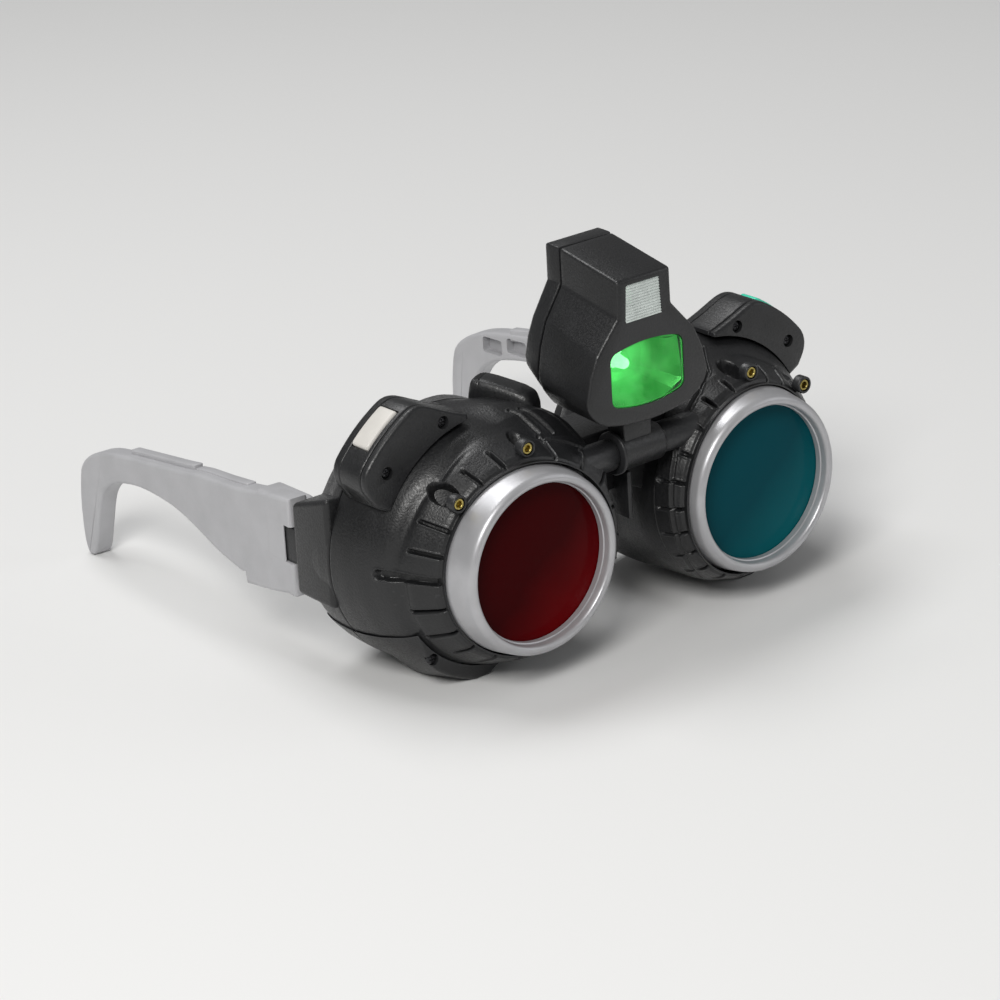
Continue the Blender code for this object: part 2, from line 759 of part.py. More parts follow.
def front_shell(name, side):
    depths = skin_depths()
    shell = loft(name, [skin_ring(side, depth) for depth in depths], "body_black")
    void_depths = [depth for depth in depths if depth >= VOID_START]
    void = [
        plain_ring(side, BEZEL_BORE_RADIUS, RIM_DEPTH - OVERRUN, RIM_DEPTH),
        plain_ring(side, BEZEL_BORE_RADIUS, BEZEL_BORE_END, STEP_DEPTH),
    ]
    void += [skin_ring(side, depth, -SHELL_WALL) for depth in void_depths]
    last = skin_ring(side, SEAM_DEPTH, -SHELL_WALL)
    void.append([point + Vector((0, OVERRUN, 0)) for point in last])
    void = loft(name + "_void", void)
    barrel_end = BARREL_LEFT_END if side > 0 else BARREL_RIGHT_END
    knuckle = rod(
        name + "_knuckle",
        KNUCKLE_BOSS_RADIUS,
        (barrel_end + side * PART_GAP, PIVOT_DEPTH, PIVOT_HEIGHT),
        (side * KNUCKLE_BOSS_END, PIVOT_DEPTH, PIVOT_HEIGHT),
    )
    bosses = [knuckle]
    for label, angle in eyelet_angles(side):
        spot = polar(side, EYELET_PLACE_RADIUS, angle, EYELET_BOSS_FRONT)
        end = spot + Vector((0, EYELET_BOSS_LENGTH, 0))
        bosses.append(rod(f"{name}_{label}_boss", EYELET_BOSS_RADIUS, spot, end, sides=16))
    cut(shell, slot_cutters(name + "_slots", side))
    cut(shell, screw_shape(name + "_door_screw_hole", door_screw_spot(side), clearance=PART_GAP))
    join(shell, *bosses)
    cut(void, cradle(name + "_cradle", side))
    cut(shell, void)
    cut(shell, cell_bay(name + "_bay", side, TEMPLE_RADIUS + OVERRUN))
    window = crest_outline(side, PART_GAP)
    cut(shell, plate(name + "_window", window, CREST_DEPTH - PART_GAP, CREST_END + PART_GAP, FACING))
    cut(shell, rod_socket(name + "_socket", side))
    for label, angle in eyelet_angles(side):
        spot = polar(side, EYELET_PLACE_RADIUS, angle, EYELET_BOSS_FRONT)
        end = spot + Vector((0, EYELET_SHANK_LENGTH + PART_GAP, 0))
        start = spot - Vector((0, OVERRUN, 0))
        hole = rod(f"{name}_{label}_hole", EYELET_SHANK_RADIUS + PART_GAP, start, end, sides=12)
        seat_start = spot - Vector((0, EYELET_LENGTH + OVERRUN, 0))
        seat_end = spot + Vector((0, PART_GAP, 0))
        seat = rod(f"{name}_{label}_seat", EYELET_RADIUS + PART_GAP, seat_start, seat_end, sides=16)
        cut(shell, hole, seat)
    return shell


def eyelet_angles(side):
    upper = UPPER_EYELET_TURN if side > 0 else 180.0 - UPPER_EYELET_TURN
    return ("outer", OUTER_EYELET_ANGLE), ("upper", upper)


def rod_socket(name, side):
    start = (0, PIVOT_DEPTH, PIVOT_HEIGHT)
    end = (side * (ROD_HALF_LENGTH + PART_GAP), PIVOT_DEPTH, PIVOT_HEIGHT)
    return rod(name, ROD_RADIUS + PART_GAP, start, end)


def bay_box(name, side, low, high, half_width, start, end):
    """A box beside the cells: low and high are radii along the line through their middle."""
    form = bmesh.new()
    bmesh.ops.create_cube(form, size=1)
    bmesh.ops.scale(form, vec=(high - low, end - start, half_width * 2), verts=form.verts)
    bmesh.ops.translate(form, vec=((low + high) / 2, (start + end) / 2, 0), verts=form.verts)
    mesh = mesh_from(name, form)
    turn = -math.radians(CELL_ANGLE if side > 0 else 180.0 - CELL_ANGLE)
    return place(name, mesh, None, (side * LENS_SPACING / 2, 0, 0), (0, turn, 0))


def bay_end():
    return SEAM_DEPTH - CRADLE_WALL


def bay_start():
    fill = CELL_COUNT * (CELL_LENGTH + PART_GAP) + CELL_SPRING_LENGTH + 2 * PART_GAP
    return bay_end() - fill


def cradle(name, side):
    start = bay_start() - CRADLE_WALL
    low = CELL_CENTRE_RADIUS - CELL_RADIUS - PART_GAP - CRADLE_WALL
    high = skin_radius(start, CELL_ANGLE) - SHELL_WALL + CRADLE_BITE
    half = CELL_RADIUS + PART_GAP + CRADLE_WALL
    return bay_box(name, side, low, high, half, start, SEAM_DEPTH - PART_GAP)


def cell_bay(name, side, high):
    low = CELL_CENTRE_RADIUS - CELL_RADIUS - PART_GAP
    return bay_box(name, side, low, high, CELL_RADIUS + PART_GAP, bay_start(), bay_end())


def door_screw_spot(side):
    angle, radius = DOOR_SCREW
    return polar(side, radius, angle, STEP_DEPTH + SCREW_SINK)


def battery_door(name, side):
    rows = [depth for depth in skin_depths() if depth >= STEP_DEPTH - MERGE]
    rows[-1] = SEAM_DEPTH - PART_GAP
    rings = []
    for depth in rows:
        along = (depth - STEP_DEPTH) / (SEAM_DEPTH - STEP_DEPTH)
        radius = DOOR_START_RADIUS + along * (FOOT_RADIUS - DOOR_START_RADIUS)
        rings.append(sector_ring(side, depth, radius, PART_GAP))
    door = loft(name, rings, "cover_black")
    cut(door, cell_bay(name + "_hollow", side, CELL_CENTRE_RADIUS + CELL_RADIUS + PART_GAP))
    cut(door, screw_shape(name + "_screw_hole", door_screw_spot(side), clearance=PART_GAP))
    return door


def cells(prefix, side):
    end = bay_end() - PART_GAP
    for number in range(1, CELL_COUNT + 1):
        start = end - CELL_LENGTH
        spot = polar(side, CELL_CENTRE_RADIUS, CELL_ANGLE, start)
        far = polar(side, CELL_CENTRE_RADIUS, CELL_ANGLE, end)
        rod(f"{prefix}_cell_{number}", CELL_RADIUS, spot, far, "steel", sides=24)
        end = start - PART_GAP
    coil = []
    turns = int(CELL_SPRING_TURNS * SPRING_POINTS_A_TURN)
    for i in range(turns + 1):
        share = i / turns
        radius = CELL_SPRING_RADIUS * (1 - share / 2)
        turn = 2 * math.pi * CELL_SPRING_TURNS * share
        depth = end - CELL_SPRING_WIRE - share * (CELL_SPRING_LENGTH - 2 * CELL_SPRING_WIRE)
        centre = polar(side, CELL_CENTRE_RADIUS, CELL_ANGLE, depth)
        coil.append(centre + Vector((radius * math.cos(turn), 0, radius * math.sin(turn))))
    wire(prefix + "_cell_spring", coil, CELL_SPRING_WIRE, "steel", resolution=0)


def rear_shell(name, side):
    start = SEAM_DEPTH + PART_GAP
    length = REAR_DEPTH - start
    rings = []
    void = []
    for along, taper in REAR_SHARES:
        depth = start + along * length
        ring = skin_ring(side, SEAM_DEPTH, -taper * REAR_TAPER)
        rings.append([Vector((p.x, depth, p.z)) for p in ring])
    shell = loft(name, rings, "body_black")
    for along, taper in REAR_SHARES[:-1]:
        depth = start + along * (length - REAR_WALL) if along else start - OVERRUN
        ring = skin_ring(side, SEAM_DEPTH, -taper * REAR_TAPER - REAR_WALL)
        void.append([Vector((p.x, depth, p.z)) for p in ring])
    sector = sector_ring(side, SEAM_DEPTH, FOOT_RADIUS, -FOOT_SINK)
    foot_rings = [[Vector((p.x, depth, p.z)) for p in sector] for depth in (start, FOOT_END)]
    foot = loft(name + "_foot", foot_rings)
    block = plate(
        name + "_hinge_block",
        [
            (HINGE_START, HINGE_FRONT_BOTTOM),
            (REAR_DEPTH, HINGE_REAR_BOTTOM),
            (REAR_DEPTH, HINGE_REAR_TOP),
            (HINGE_START, HINGE_FRONT_TOP),
        ],
        side * HINGE_INSIDE,
        side * HINGE_OUTSIDE,
        SIDEWAYS,
    )
    tongue = [(-KNUCKLE_RADIUS, REAR_DEPTH - OVERRUN - PIN_DEPTH)]
    for i in range(KNUCKLE_STEPS + 1):
        turn = math.pi - math.pi * i / KNUCKLE_STEPS
        tongue.append((KNUCKLE_RADIUS * math.cos(turn), KNUCKLE_RADIUS * math.sin(turn)))
    tongue.append((KNUCKLE_RADIUS, REAR_DEPTH - OVERRUN - PIN_DEPTH))
    pin_spot = (side * PIN_SPREAD, PIN_DEPTH, 0)
    tab = plate(name + "_tab", tongue, TAB_BOTTOM, TAB_TOP, LEVEL, location=pin_spot)
    bore = rod(
        name + "_pin_hole",
        PIN_RADIUS + PART_GAP,
        (side * PIN_SPREAD, PIN_DEPTH, TAB_BOTTOM - OVERRUN),
        (side * PIN_SPREAD, PIN_DEPTH, TAB_TOP + OVERRUN),
        sides=16,
    )
    eye = rod(
        name + "_eye_hole",
        LENS_RADIUS + PART_GAP,
        (side * LENS_SPACING / 2, SEAM_DEPTH, 0),
        (side * LENS_SPACING / 2, REAR_DEPTH + OVERRUN, 0),
        sides=RING_STEPS,
    )
    join(shell, foot)
    cut(shell, loft(name + "_void", void))
    join(shell, bevel(block, ARM_BEVEL), tab)
    cut(shell, eye, bore)
    return shell


def bezel_and_lens(prefix, side, lens_finish):
    middle = (side * LENS_SPACING / 2, 0, 0)
    shoulder_radius = (BEZEL_FRONT_RADIUS + BEZEL_CROWN_RADIUS) / 2
    turned(
        prefix + "_bezel",
        [
            (BEZEL_BACK_RADIUS, BEZEL_END),
            (BEZEL_BACK_RADIUS, RIM_DEPTH + BEZEL_LEDGE),
            (BEZEL_FRONT_RADIUS, 0.0),
            (shoulder_radius, -BEZEL_CROWN * math.cos(BEZEL_SHOULDER_TURN)),
            (BEZEL_CROWN_RADIUS, -BEZEL_CROWN),
            (BEZEL_LIP_RADIUS, -BEZEL_CROWN * BEZEL_LIP_SHARE),
            (BEZEL_LIP_RADIUS, BEZEL_LEDGE),
            (LENS_RADIUS + PART_GAP, BEZEL_LEDGE),
            (LENS_RADIUS + PART_GAP, BEZEL_END),
        ],
        "bezel_silver",
        middle,
    )
    flat = BEZEL_LIP_RADIUS - LENS_BORDER
    dome = []
    for i in range(LENS_STEPS + 1):
        share = i / LENS_STEPS
        dome.append((flat * share, LENS_SEAT - LENS_CROWN * (1 - share * share)))
    dome += [(LENS_RADIUS, LENS_SEAT), (LENS_RADIUS, LENS_SEAT + LENS_THICKNESS)]
    dome.append((0.0, LENS_SEAT + LENS_THICKNESS))
    turned(prefix + "_lens", dome, lens_finish, middle)
    turned(
        prefix + "_lens_tube",
        [
            (LENS_RADIUS, REAR_DEPTH),
            (LENS_RADIUS, TUBE_START),
            (TUBE_INNER_RADIUS, TUBE_START),
            (TUBE_INNER_RADIUS, REAR_DEPTH),
        ],
        "inner_black",
        middle,
    )
    cup_start = REAR_DEPTH + PART_GAP
    lip = (EYECUP_INNER_RADIUS + EYECUP_OUTER_RADIUS) / 2
    turned(
        prefix + "_eyecup",
        [
            (EYECUP_OUTER_RADIUS, cup_start),
            (EYECUP_INNER_RADIUS, cup_start),
            (EYECUP_INNER_RADIUS, cup_start + EYECUP_LENGTH * EYECUP_INNER_SHARE),
            (lip, cup_start + EYECUP_LENGTH),
            (EYECUP_OUTER_RADIUS, cup_start + EYECUP_LENGTH * EYECUP_OUTER_SHARE),
        ],
        "soft_black",
        middle,
    )
    led_radius = TUBE_INNER_RADIUS - LENS_LED_RADIUS - PART_GAP
    start = polar(side, led_radius, LENS_LED_ANGLE, TUBE_START + PART_GAP)
    led_end = start + Vector((0, LENS_LED_LENGTH, 0))
    rod(prefix + "_lens_led", LENS_LED_RADIUS, start, led_end, "led_clear", sides=12)


def raised_pod(prefix, side, button_finish):
    outline = crest_outline(side)
    housing = plate(prefix + "_pod_housing", outline, HOUSING_START, CREST_END, FACING, "body_black")
    bevel(housing, CREST_BEVEL)
    ceiling = CREST_OUTER_RADIUS - CREST_WALL
    floor = CREST_INNER_RADIUS + CREST_WALL
    half = BUTTON_LENGTH / 2
    spot = (side * LENS_SPACING / 2, 0, 0)
    pocket = plate(
        prefix + "_pod_pocket",
        button_block(side, half + BUTTON_FLANGE + PART_GAP, floor, ceiling),
        HOUSING_START - OVERRUN,
        CREST_END - CREST_WALL,
        FACING,
        location=spot,
    )
    opening = plate(
        prefix + "_button_opening",
        button_block(side, half + PART_GAP, floor + OVERRUN, CREST_OUTER_RADIUS + OVERRUN),
        BUTTON_DEPTH - BUTTON_WIDTH / 2 - PART_GAP,
        BUTTON_DEPTH + BUTTON_WIDTH / 2 + PART_GAP,
        FACING,
        location=spot,
    )
    cut(housing, pocket, opening)
    for number, (angle, radius) in enumerate(COVER_SCREWS, 1):
        start = polar(side, radius, angle, HOUSING_START)
        end = polar(side, radius, angle, CREST_END - CREST_WALL / 2)
        join(housing, rod(f"{prefix}_screw_boss_{number}", SCREW_BOSS_RADIUS, start, end, sides=16))
    cover = plate(
        prefix + "_cover_plate", outline, CREST_DEPTH, CREST_DEPTH + CREST_PLATE, FACING, "cover_black"
    )
    for number, (angle, radius) in enumerate(COVER_SCREWS, 1):
        place_at = polar(side, radius, angle, CREST_DEPTH + SCREW_SINK)
        screw_shape(f"{prefix}_cover_screw_{number}", place_at, "steel")
        hole = screw_shape(f"{prefix}_cover_screw_hole_{number}", place_at, clearance=PART_GAP)
        cut(cover, hole)
        cut(housing, hole)
    push_button(prefix, side, button_finish, ceiling)
    tact_switch(prefix, side, floor)


def push_button(prefix, side, button_finish, ceiling):
    """The cap, its retaining flange and its stem, on an empty that stands on the slide's line."""
    face = CREST_OUTER_RADIUS + BUTTON_PROUD
    slide_spot = Vector((side * LENS_SPACING / 2, BUTTON_DEPTH, 0))
    across, up = button_local(side, 0, face)
    slide_spot += Vector((across, 0, up))
    guide = make_empty(prefix + "_button_slide", slide_spot, parent=lens_frame)
    to_pod = Vector((-across, -BUTTON_DEPTH, -up))
    flange_top = ceiling - PART_GAP
    flange_low = flange_top - BUTTON_FLANGE
    half = BUTTON_LENGTH / 2
    cap = plate(
        prefix + "_button",
        button_block(side, half, flange_low, face),
        BUTTON_DEPTH - BUTTON_WIDTH / 2,
        BUTTON_DEPTH + BUTTON_WIDTH / 2,
        FACING,
        button_finish,
        location=to_pod,
        parent=guide,
    )
    bevel(cap, BUTTON_BEVEL)
    flange = plate(
        prefix + "_button_flange",
        button_block(side, half + BUTTON_FLANGE, flange_low, flange_top, 4),
        BUTTON_DEPTH - BUTTON_WIDTH / 2 - BUTTON_FLANGE / 2,
        BUTTON_DEPTH + BUTTON_WIDTH / 2 + BUTTON_FLANGE / 2,
        FACING,
        location=to_pod,
        parent=guide,
    )
    stem_start = button_local(side, 0, flange_low + BUTTON_FLANGE / 2)
    stem_end = button_local(side, 0, flange_low - BUTTON_STEM_LENGTH)
    stem = rod(
        prefix + "_button_stem",
        BUTTON_STEM_RADIUS,
        to_pod + Vector((stem_start[0], BUTTON_DEPTH, stem_start[1])),
        to_pod + Vector((stem_end[0], BUTTON_DEPTH, stem_end[1])),
        parent=guide,
        sides=12,
    )
    join(cap, flange, stem)


def tact_switch(prefix, side, floor):
    low = floor + PART_GAP
    half = SWITCH_SIZE / 2
    corners = [(-half, low), (half, low), (half, low + SWITCH_HEIGHT), (-half, low + SWITCH_HEIGHT)]
    outline = [button_local(side, along, rise) for along, rise in corners]
    spot = (side * LENS_SPACING / 2, 0, 0)
    body = plate(
        prefix + "_switch", outline, BUTTON_DEPTH - half, BUTTON_DEPTH + half, FACING, "switch_black", spot
    )
    stem_end = CREST_OUTER_RADIUS - CREST_WALL - PART_GAP - BUTTON_FLANGE - BUTTON_STEM_LENGTH
    plunger_top = stem_end - BUTTON_TRAVEL - PART_GAP
    start = button_local(side, 0, low + SWITCH_HEIGHT / 2)
    end = button_local(side, 0, plunger_top)
    middle = Vector((spot[0], BUTTON_DEPTH, 0))
    plunger = rod(
        prefix + "_switch_plunger",
        SWITCH_PLUNGER_RADIUS,
        middle + Vector((start[0], 0, start[1])),
        middle + Vector((end[0], 0, end[1])),
        sides=12,
    )
    join(body, plunger)


def eyelets(prefix, side):
    for label, angle in eyelet_angles(side):
        front = EYELET_BOSS_FRONT - EYELET_LENGTH
        flange_end = EYELET_LENGTH
        shank_end = EYELET_LENGTH + EYELET_SHANK_LENGTH
        turned(
            f"{prefix}_{label}_eyelet",
            [
                (0.0, EYELET_DISH_DEPTH),
                (EYELET_DISH_RADIUS, EYELET_DISH_DEPTH),
                (EYELET_DISH_RADIUS, 0.0),
                (EYELET_RADIUS, 0.0),
                (EYELET_RADIUS, flange_end),
                (EYELET_SHANK_RADIUS, flange_end),
                (EYELET_SHANK_RADIUS, shank_end),
                (0.0, shank_end),
            ],
            "eyelet_brass",
            polar(side, EYELET_PLACE_RADIUS, angle, front),
            steps=12,
        )


# Side arms


def arm_height(share):
    """Height of the arm's upper edge at a share of its length."""
    upper = ARM_SHARES[:ARM_UPPER_ROWS]
    for (low, high_a), (high, high_b) in zip(upper, upper[1:]):
        if low <= share <= high:
            return LENS_HEIGHT * (high_a + (high_b - high_a) * (share - low) / (high - low))
    return 0.0


def arm(prefix, side):
    hinge = make_empty(
        prefix + "_arm_hinge",
        (side * PIN_SPREAD, PIN_DEPTH, 0),
        (0, 0, side * ARM_TOE_IN),
        lens_frame,
    )
    outline = [(along * ARM_LENGTH - PIN_SETBACK, up * LENS_HEIGHT) for along, up in ARM_SHARES]
    inside = ARM_OUTSIDE - ARM_THICKNESS
    body = plate(
        prefix + "_arm", outline, side * ARM_OUTSIDE, side * inside, SIDEWAYS, "arm_grey", parent=hinge
    )
    knuckle = rod(
        prefix + "_arm_knuckle",
        KNUCKLE_RADIUS,
        (0, 0, KNUCKLE_BOTTOM),
        (0, 0, KNUCKLE_TOP),
        parent=hinge,
    )
    first, last = RIDGE_SHARES
    ridge_line = [(share, arm_height(share)) for share in (first, (first + last) / 2, last)]
    ridge_outline = [(a * ARM_LENGTH - PIN_SETBACK, h + RIDGE_HEIGHT) for a, h in ridge_line]
    ridge_outline += [(a * ARM_LENGTH - PIN_SETBACK, h - RIDGE_ROOT) for a, h in ridge_line[::-1]]
    middle = ARM_OUTSIDE - ARM_THICKNESS / 2
    ridge = plate(
        prefix + "_arm_ridge",
        ridge_outline,
        side * (middle + RIDGE_WIDTH / 2),
        side * (middle - RIDGE_WIDTH / 2),
        SIDEWAYS,
        parent=hinge,
    )
    join(body, knuckle, ridge)
    swing = KNUCKLE_RADIUS + PART_GAP
    notch = box(
        prefix + "_arm_notch",
        (-LENS_HEIGHT, -PIN_SETBACK - OVERRUN, TAB_BOTTOM - PART_GAP),
        (LENS_HEIGHT, swing, TAB_TOP + PART_GAP),
        parent=hinge,
    )
    bore = rod(
        prefix + "_arm_bore",
        PIN_RADIUS + PART_GAP,
        (0, 0, KNUCKLE_BOTTOM - OVERRUN),
        (0, 0, KNUCKLE_TOP - ARM_BEVEL),
        parent=hinge,
        sides=16,
    )
    cut(body, notch, bore)
    half = ARM_POCKET_HEIGHT_SHARE * LENS_HEIGHT / 2
    for number, (start, end) in enumerate(ARM_POCKETS, 1):
        centre = arm_height((start + end) / 2) - half - ARM_BEVEL * 2
        depths = sorted((side * (inside - OVERRUN), side * (inside + ARM_POCKET_DEPTH)))
        pocket = box(
            f"{prefix}_arm_pocket_{number}",
            (depths[0], start * ARM_LENGTH - PIN_SETBACK, centre - half),
            (depths[1], end * ARM_LENGTH - PIN_SETBACK, centre + half),
            parent=hinge,
        )
        cut(body, pocket)
    rod(
        prefix + "_hinge_pin",
        PIN_RADIUS,
        (side * PIN_SPREAD, PIN_DEPTH, KNUCKLE_BOTTOM),
        (side * PIN_SPREAD, PIN_DEPTH, KNUCKLE_TOP - ARM_BEVEL - PART_GAP),
        "steel",
        sides=16,
    )


# Lamp and bridge


def lamp_outline(distance=0.0):
    """The lamp seen from the front, anticlockwise, in x and z, moved in by distance."""
    half = [(x * LAMP_HALF_WIDTH, LAMP_BOTTOM + z * LAMP_HEIGHT) for x, z in LAMP_SHARES]
    outline = half + [(-x, z) for x, z in half[:0:-1]]
    return inset(outline, distance) if distance else outline


def lamp_ring(depth, distance=0.0):
    """The outline at a depth: its top rakes up, and its underside slants up behind the chamfer."""
    full = LAMP_RAKE_FULL_SHARE * LAMP_HEIGHT
    ring = []
    for x, z in lamp_outline(distance):
        share = min(max((z - LAMP_BOTTOM) / full, 0.0), 1.0)
        rake = LAMP_RAKE_SHARE * depth
        chamfer = LAMP_CHAMFER_SHARE * max(0.0, depth - LAMP_CHAMFER_START)
        lift = share * rake + (1 - share) * chamfer
        ring.append(to_lamp((x, depth, z + lift)))
    return ring


def to_lamp(point):
    """From the lens frame to the lamp's own pivot."""
    return Vector(point) - Vector((0, PIVOT_DEPTH, PIVOT_HEIGHT))


def window_outline(half_width, bottom, top, arch, grow=0.0):
    half_width, bottom, top = half_width + grow, bottom - grow, top + grow
    points = []
    for height, bulge, direction in ((bottom, -arch, 1), (top, arch, -1)):
        for i in range(WINDOW_STEPS + 1):
            x = direction * half_width * (2 * i / WINDOW_STEPS - 1)
            points.append((x, height - PIVOT_HEIGHT + bulge * (1 - (x / half_width) ** 2)))
    return points


def lamp(pivot):
    front = loft("lamp_front_shell", [lamp_ring(d) for d in (0.0, LAMP_CHAMFER_START, LAMP_SPLIT)],
                 "body_black", pivot)
    bevel(front, LAMP_BEVEL)
    inner_depths = (LAMP_WALL, LAMP_CHAMFER_START, LAMP_SPLIT + OVERRUN)
    hollow = loft("lamp_front_void", [lamp_ring(d, LAMP_WALL) for d in inner_depths], parent=pivot)
    cut(front, hollow)
    rear_start = LAMP_SPLIT + PART_GAP
    rear_middle = (rear_start + LAMP_REAR) / 2
    rear_rings = [lamp_ring(rear_start), lamp_ring(rear_middle), lamp_ring(LAMP_REAR, LAMP_WALL)]
    rear = loft("lamp_rear_shell", rear_rings, "body_black", pivot)
    rear_hollow = [lamp_ring(rear_start - OVERRUN, LAMP_WALL), lamp_ring(rear_middle, LAMP_WALL)]
    cut(rear, loft("lamp_rear_void", rear_hollow, parent=pivot))
    windows = (
        ("lamp_top_window", "clear_window", TOP_WINDOW_HALF_WIDTH, TOP_WINDOW_BOTTOM, TOP_WINDOW_TOP, 0.0),
        (
            "lamp_main_window",
            "green_window",
            MAIN_WINDOW_HALF_WIDTH,
            MAIN_WINDOW_BOTTOM,
            MAIN_WINDOW_TOP,
            MAIN_WINDOW_ARCH,
        ),
    )
    face = -PIVOT_DEPTH
    for name, finish, half_width, bottom, top, arch in windows:
        hole = window_outline(half_width, bottom, top, arch, PART_GAP)
        cut(front, plate(name + "_hole", hole, face - OVERRUN, face + LAMP_WALL + OVERRUN, FACING,
                         parent=pivot))
        pane = window_outline(half_width, bottom, top, arch)
        start = face - WINDOW_PROUD
        plate(name, pane, start, start + WINDOW_THICKNESS, FACING, finish, parent=pivot)
    lamp_insides(pivot)


def lamp_insides(pivot):
    front = WINDOW_THICKNESS - WINDOW_PROUD + PART_GAP
    back = front + REFLECTOR_DEPTH
    bowl = []
    for i in range(REFLECTOR_STEPS + 1):
        share = i / REFLECTOR_STEPS
        radius = REFLECTOR_THROAT_RADIUS + (REFLECTOR_RADIUS - REFLECTOR_THROAT_RADIUS) * math.sqrt(share)
        bowl.append((radius, back - share * REFLECTOR_DEPTH))
    outside = [(radius + REFLECTOR_WALL, depth) for radius, depth in bowl[::-1]]
    spot = to_lamp((0, 0, REFLECTOR_HEIGHT))
    turned("lamp_reflector", bowl + outside, "reflector_chrome", spot, pivot, steps=24)
    led_end = BOARD_DEPTH - PART_GAP
    for name, height in (("lamp_main_led", REFLECTOR_HEIGHT), ("lamp_top_led", TOP_LED_HEIGHT)):
        start = led_end - LED_LENGTH
        profile = []
        for angle in LED_DOME_ANGLES:
            turn = math.radians(angle)
            profile.append((LED_RADIUS * math.sin(turn), start + LED_RADIUS * (1 - math.cos(turn))))
        profile += [(LED_RADIUS, led_end), (0.0, led_end)]
        turned(name, profile, "led_clear", to_lamp((0, 0, height)), pivot, steps=16)
    box(
        "lamp_board",
        to_lamp((-BOARD_HALF_WIDTH, BOARD_DEPTH, BOARD_BOTTOM)),
        to_lamp((BOARD_HALF_WIDTH, BOARD_DEPTH + BOARD_THICKNESS, BOARD_TOP)),
        "board_green",
        pivot,
    )


def barrel_sleeve(pivot):
    """The barrel that turns on the bridge rod, and the neck that carries the lamp."""
    sleeve = rod("lamp_barrel", BARREL_RADIUS, (BARREL_RIGHT_END, 0, 0), (BARREL_LEFT_END, 0, 0),
                 "body_black", pivot, sides=32)
    flange = rod("lamp_barrel_flange", FLANGE_RADIUS, (BARREL_RIGHT_END, 0, 0),
                 (BARREL_RIGHT_END + FLANGE_WIDTH, 0, 0), parent=pivot, sides=32)
    neck = box(
        "lamp_barrel_neck",
        (-NECK_HALF_WIDTH, -NECK_HALF_DEPTH, 0),
        (NECK_HALF_WIDTH, NECK_HALF_DEPTH, LAMP_BOTTOM - PIVOT_HEIGHT - PART_GAP),
        parent=pivot,
    )
    bore = rod("lamp_barrel_bore", ROD_RADIUS + PART_GAP, (BARREL_RIGHT_END - OVERRUN, 0, 0),
               (BARREL_LEFT_END + OVERRUN, 0, 0), parent=pivot)
    join(sleeve, flange, neck)
    cut(sleeve, bore)


def bridge():
    rod(
        "bridge_rod",
        ROD_RADIUS,
        (-ROD_HALF_LENGTH, PIVOT_DEPTH, PIVOT_HEIGHT),
        (ROD_HALF_LENGTH, PIVOT_DEPTH, PIVOT_HEIGHT),
        "steel",
    )
    outline = [(BRIDGE_HALF_WIDTH, BRIDGE_TOP), (-BRIDGE_HALF_WIDTH, BRIDGE_TOP)]
    for i in range(BRIDGE_STEPS + 1):
        share = 2 * i / BRIDGE_STEPS - 1
        height = BRIDGE_ARCH_FOOT + (BRIDGE_ARCH_TOP - BRIDGE_ARCH_FOOT) * (1 - share * share)
        outline.append((share * BRIDGE_HALF_WIDTH, height))
    arch = plate("nose_bridge", outline, BRIDGE_START, BRIDGE_END, FACING, "body_black")
    for prefix, side in SIDES:
        depths = skin_depths()[SEAT_FIRST_ROW:]
        rings = [skin_ring(side, depth, PART_GAP) for depth in depths]
        cut(arch, loft(f"nose_bridge_{prefix}_seat", rings))
    rib = box(
        "nose_bridge_rib",
        (-RIB_HALF_WIDTH, RIB_FRONT, RIB_BOTTOM),
        (RIB_HALF_WIDTH, BRIDGE_START + OVERRUN, RIB_TOP),
    )
    join(arch, rib)


def brow_cover(name, side):
    """A dome that follows the pod's shoulder, its underside cut to the skin."""
    half = BROW_WIDTH / 2
    turn = -side * BROW_TURN
    middle = Vector((side * (LENS_SPACING / 2 - BROW_OFFSET), BROW_DEPTH, 0))
    rings = []
    for i in range(BROW_STEPS + 1):
        share = 2 * i / BROW_STEPS - 1
        narrow = math.sqrt(1 - BROW_NARROW_SHARE * share**4)
        top = BROW_TOP - BROW_FALL * share * share
        section = [(half * x * narrow, top - half * drop) for x, drop in BROW_SECTION_SHARES]
        section.append((half * narrow, BROW_ROOT))
        section += [(-x, z) for x, z in section[:0:-1]]
        along = share * BROW_LENGTH / 2
        ring = []
        for x, z in section:
            across = x * math.cos(turn) - along * math.sin(turn)
            back = x * math.sin(turn) + along * math.cos(turn)
            ring.append(middle + Vector((across, back, z)))
        rings.append(ring)
    cover = loft(name, rings, "body_black")
    depths = skin_depths()[SEAT_FIRST_ROW:]
    seat = [skin_ring(side, depth, PART_GAP) for depth in depths]
    seat.append([point + Vector((0, OVERRUN, 0)) for point in seat[-1]])
    cut(cover, loft(name + "_seat", seat))
    return cover


clear_scene()
parts = make_collection("night_vision_goggles")
tools = make_collection("cutters")
finishes = {name: make_finish(name) for name in FINISHES}
lens_frame = make_empty("lens_frame", (0, -BASE_DEPTH, LENS_HEIGHT))

for prefix, side in SIDES:
    front_shell(prefix + "_front_shell", side)
    rear_shell(prefix + "_rear_shell", side)
    bezel_and_lens(prefix, side, "lens_red" if side < 0 else "lens_teal")
    raised_pod(prefix, side, "button_white" if side < 0 else "button_teal")
    battery_door(prefix + "_battery_door", side)
    screw_shape(prefix + "_door_screw", door_screw_spot(side), "steel")
    cells(prefix, side)
    eyelets(prefix, side)
    brow_cover(prefix + "_brow_cover", side)
    arm(prefix, side)

lamp_pivot = make_empty("lamp_pivot", (0, PIVOT_DEPTH, PIVOT_HEIGHT), parent=lens_frame)
lamp(lamp_pivot)
barrel_sleeve(lamp_pivot)
bridge()
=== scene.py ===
import math

import bmesh
import bpy
import numpy as np
from mathutils import Matrix, Vector

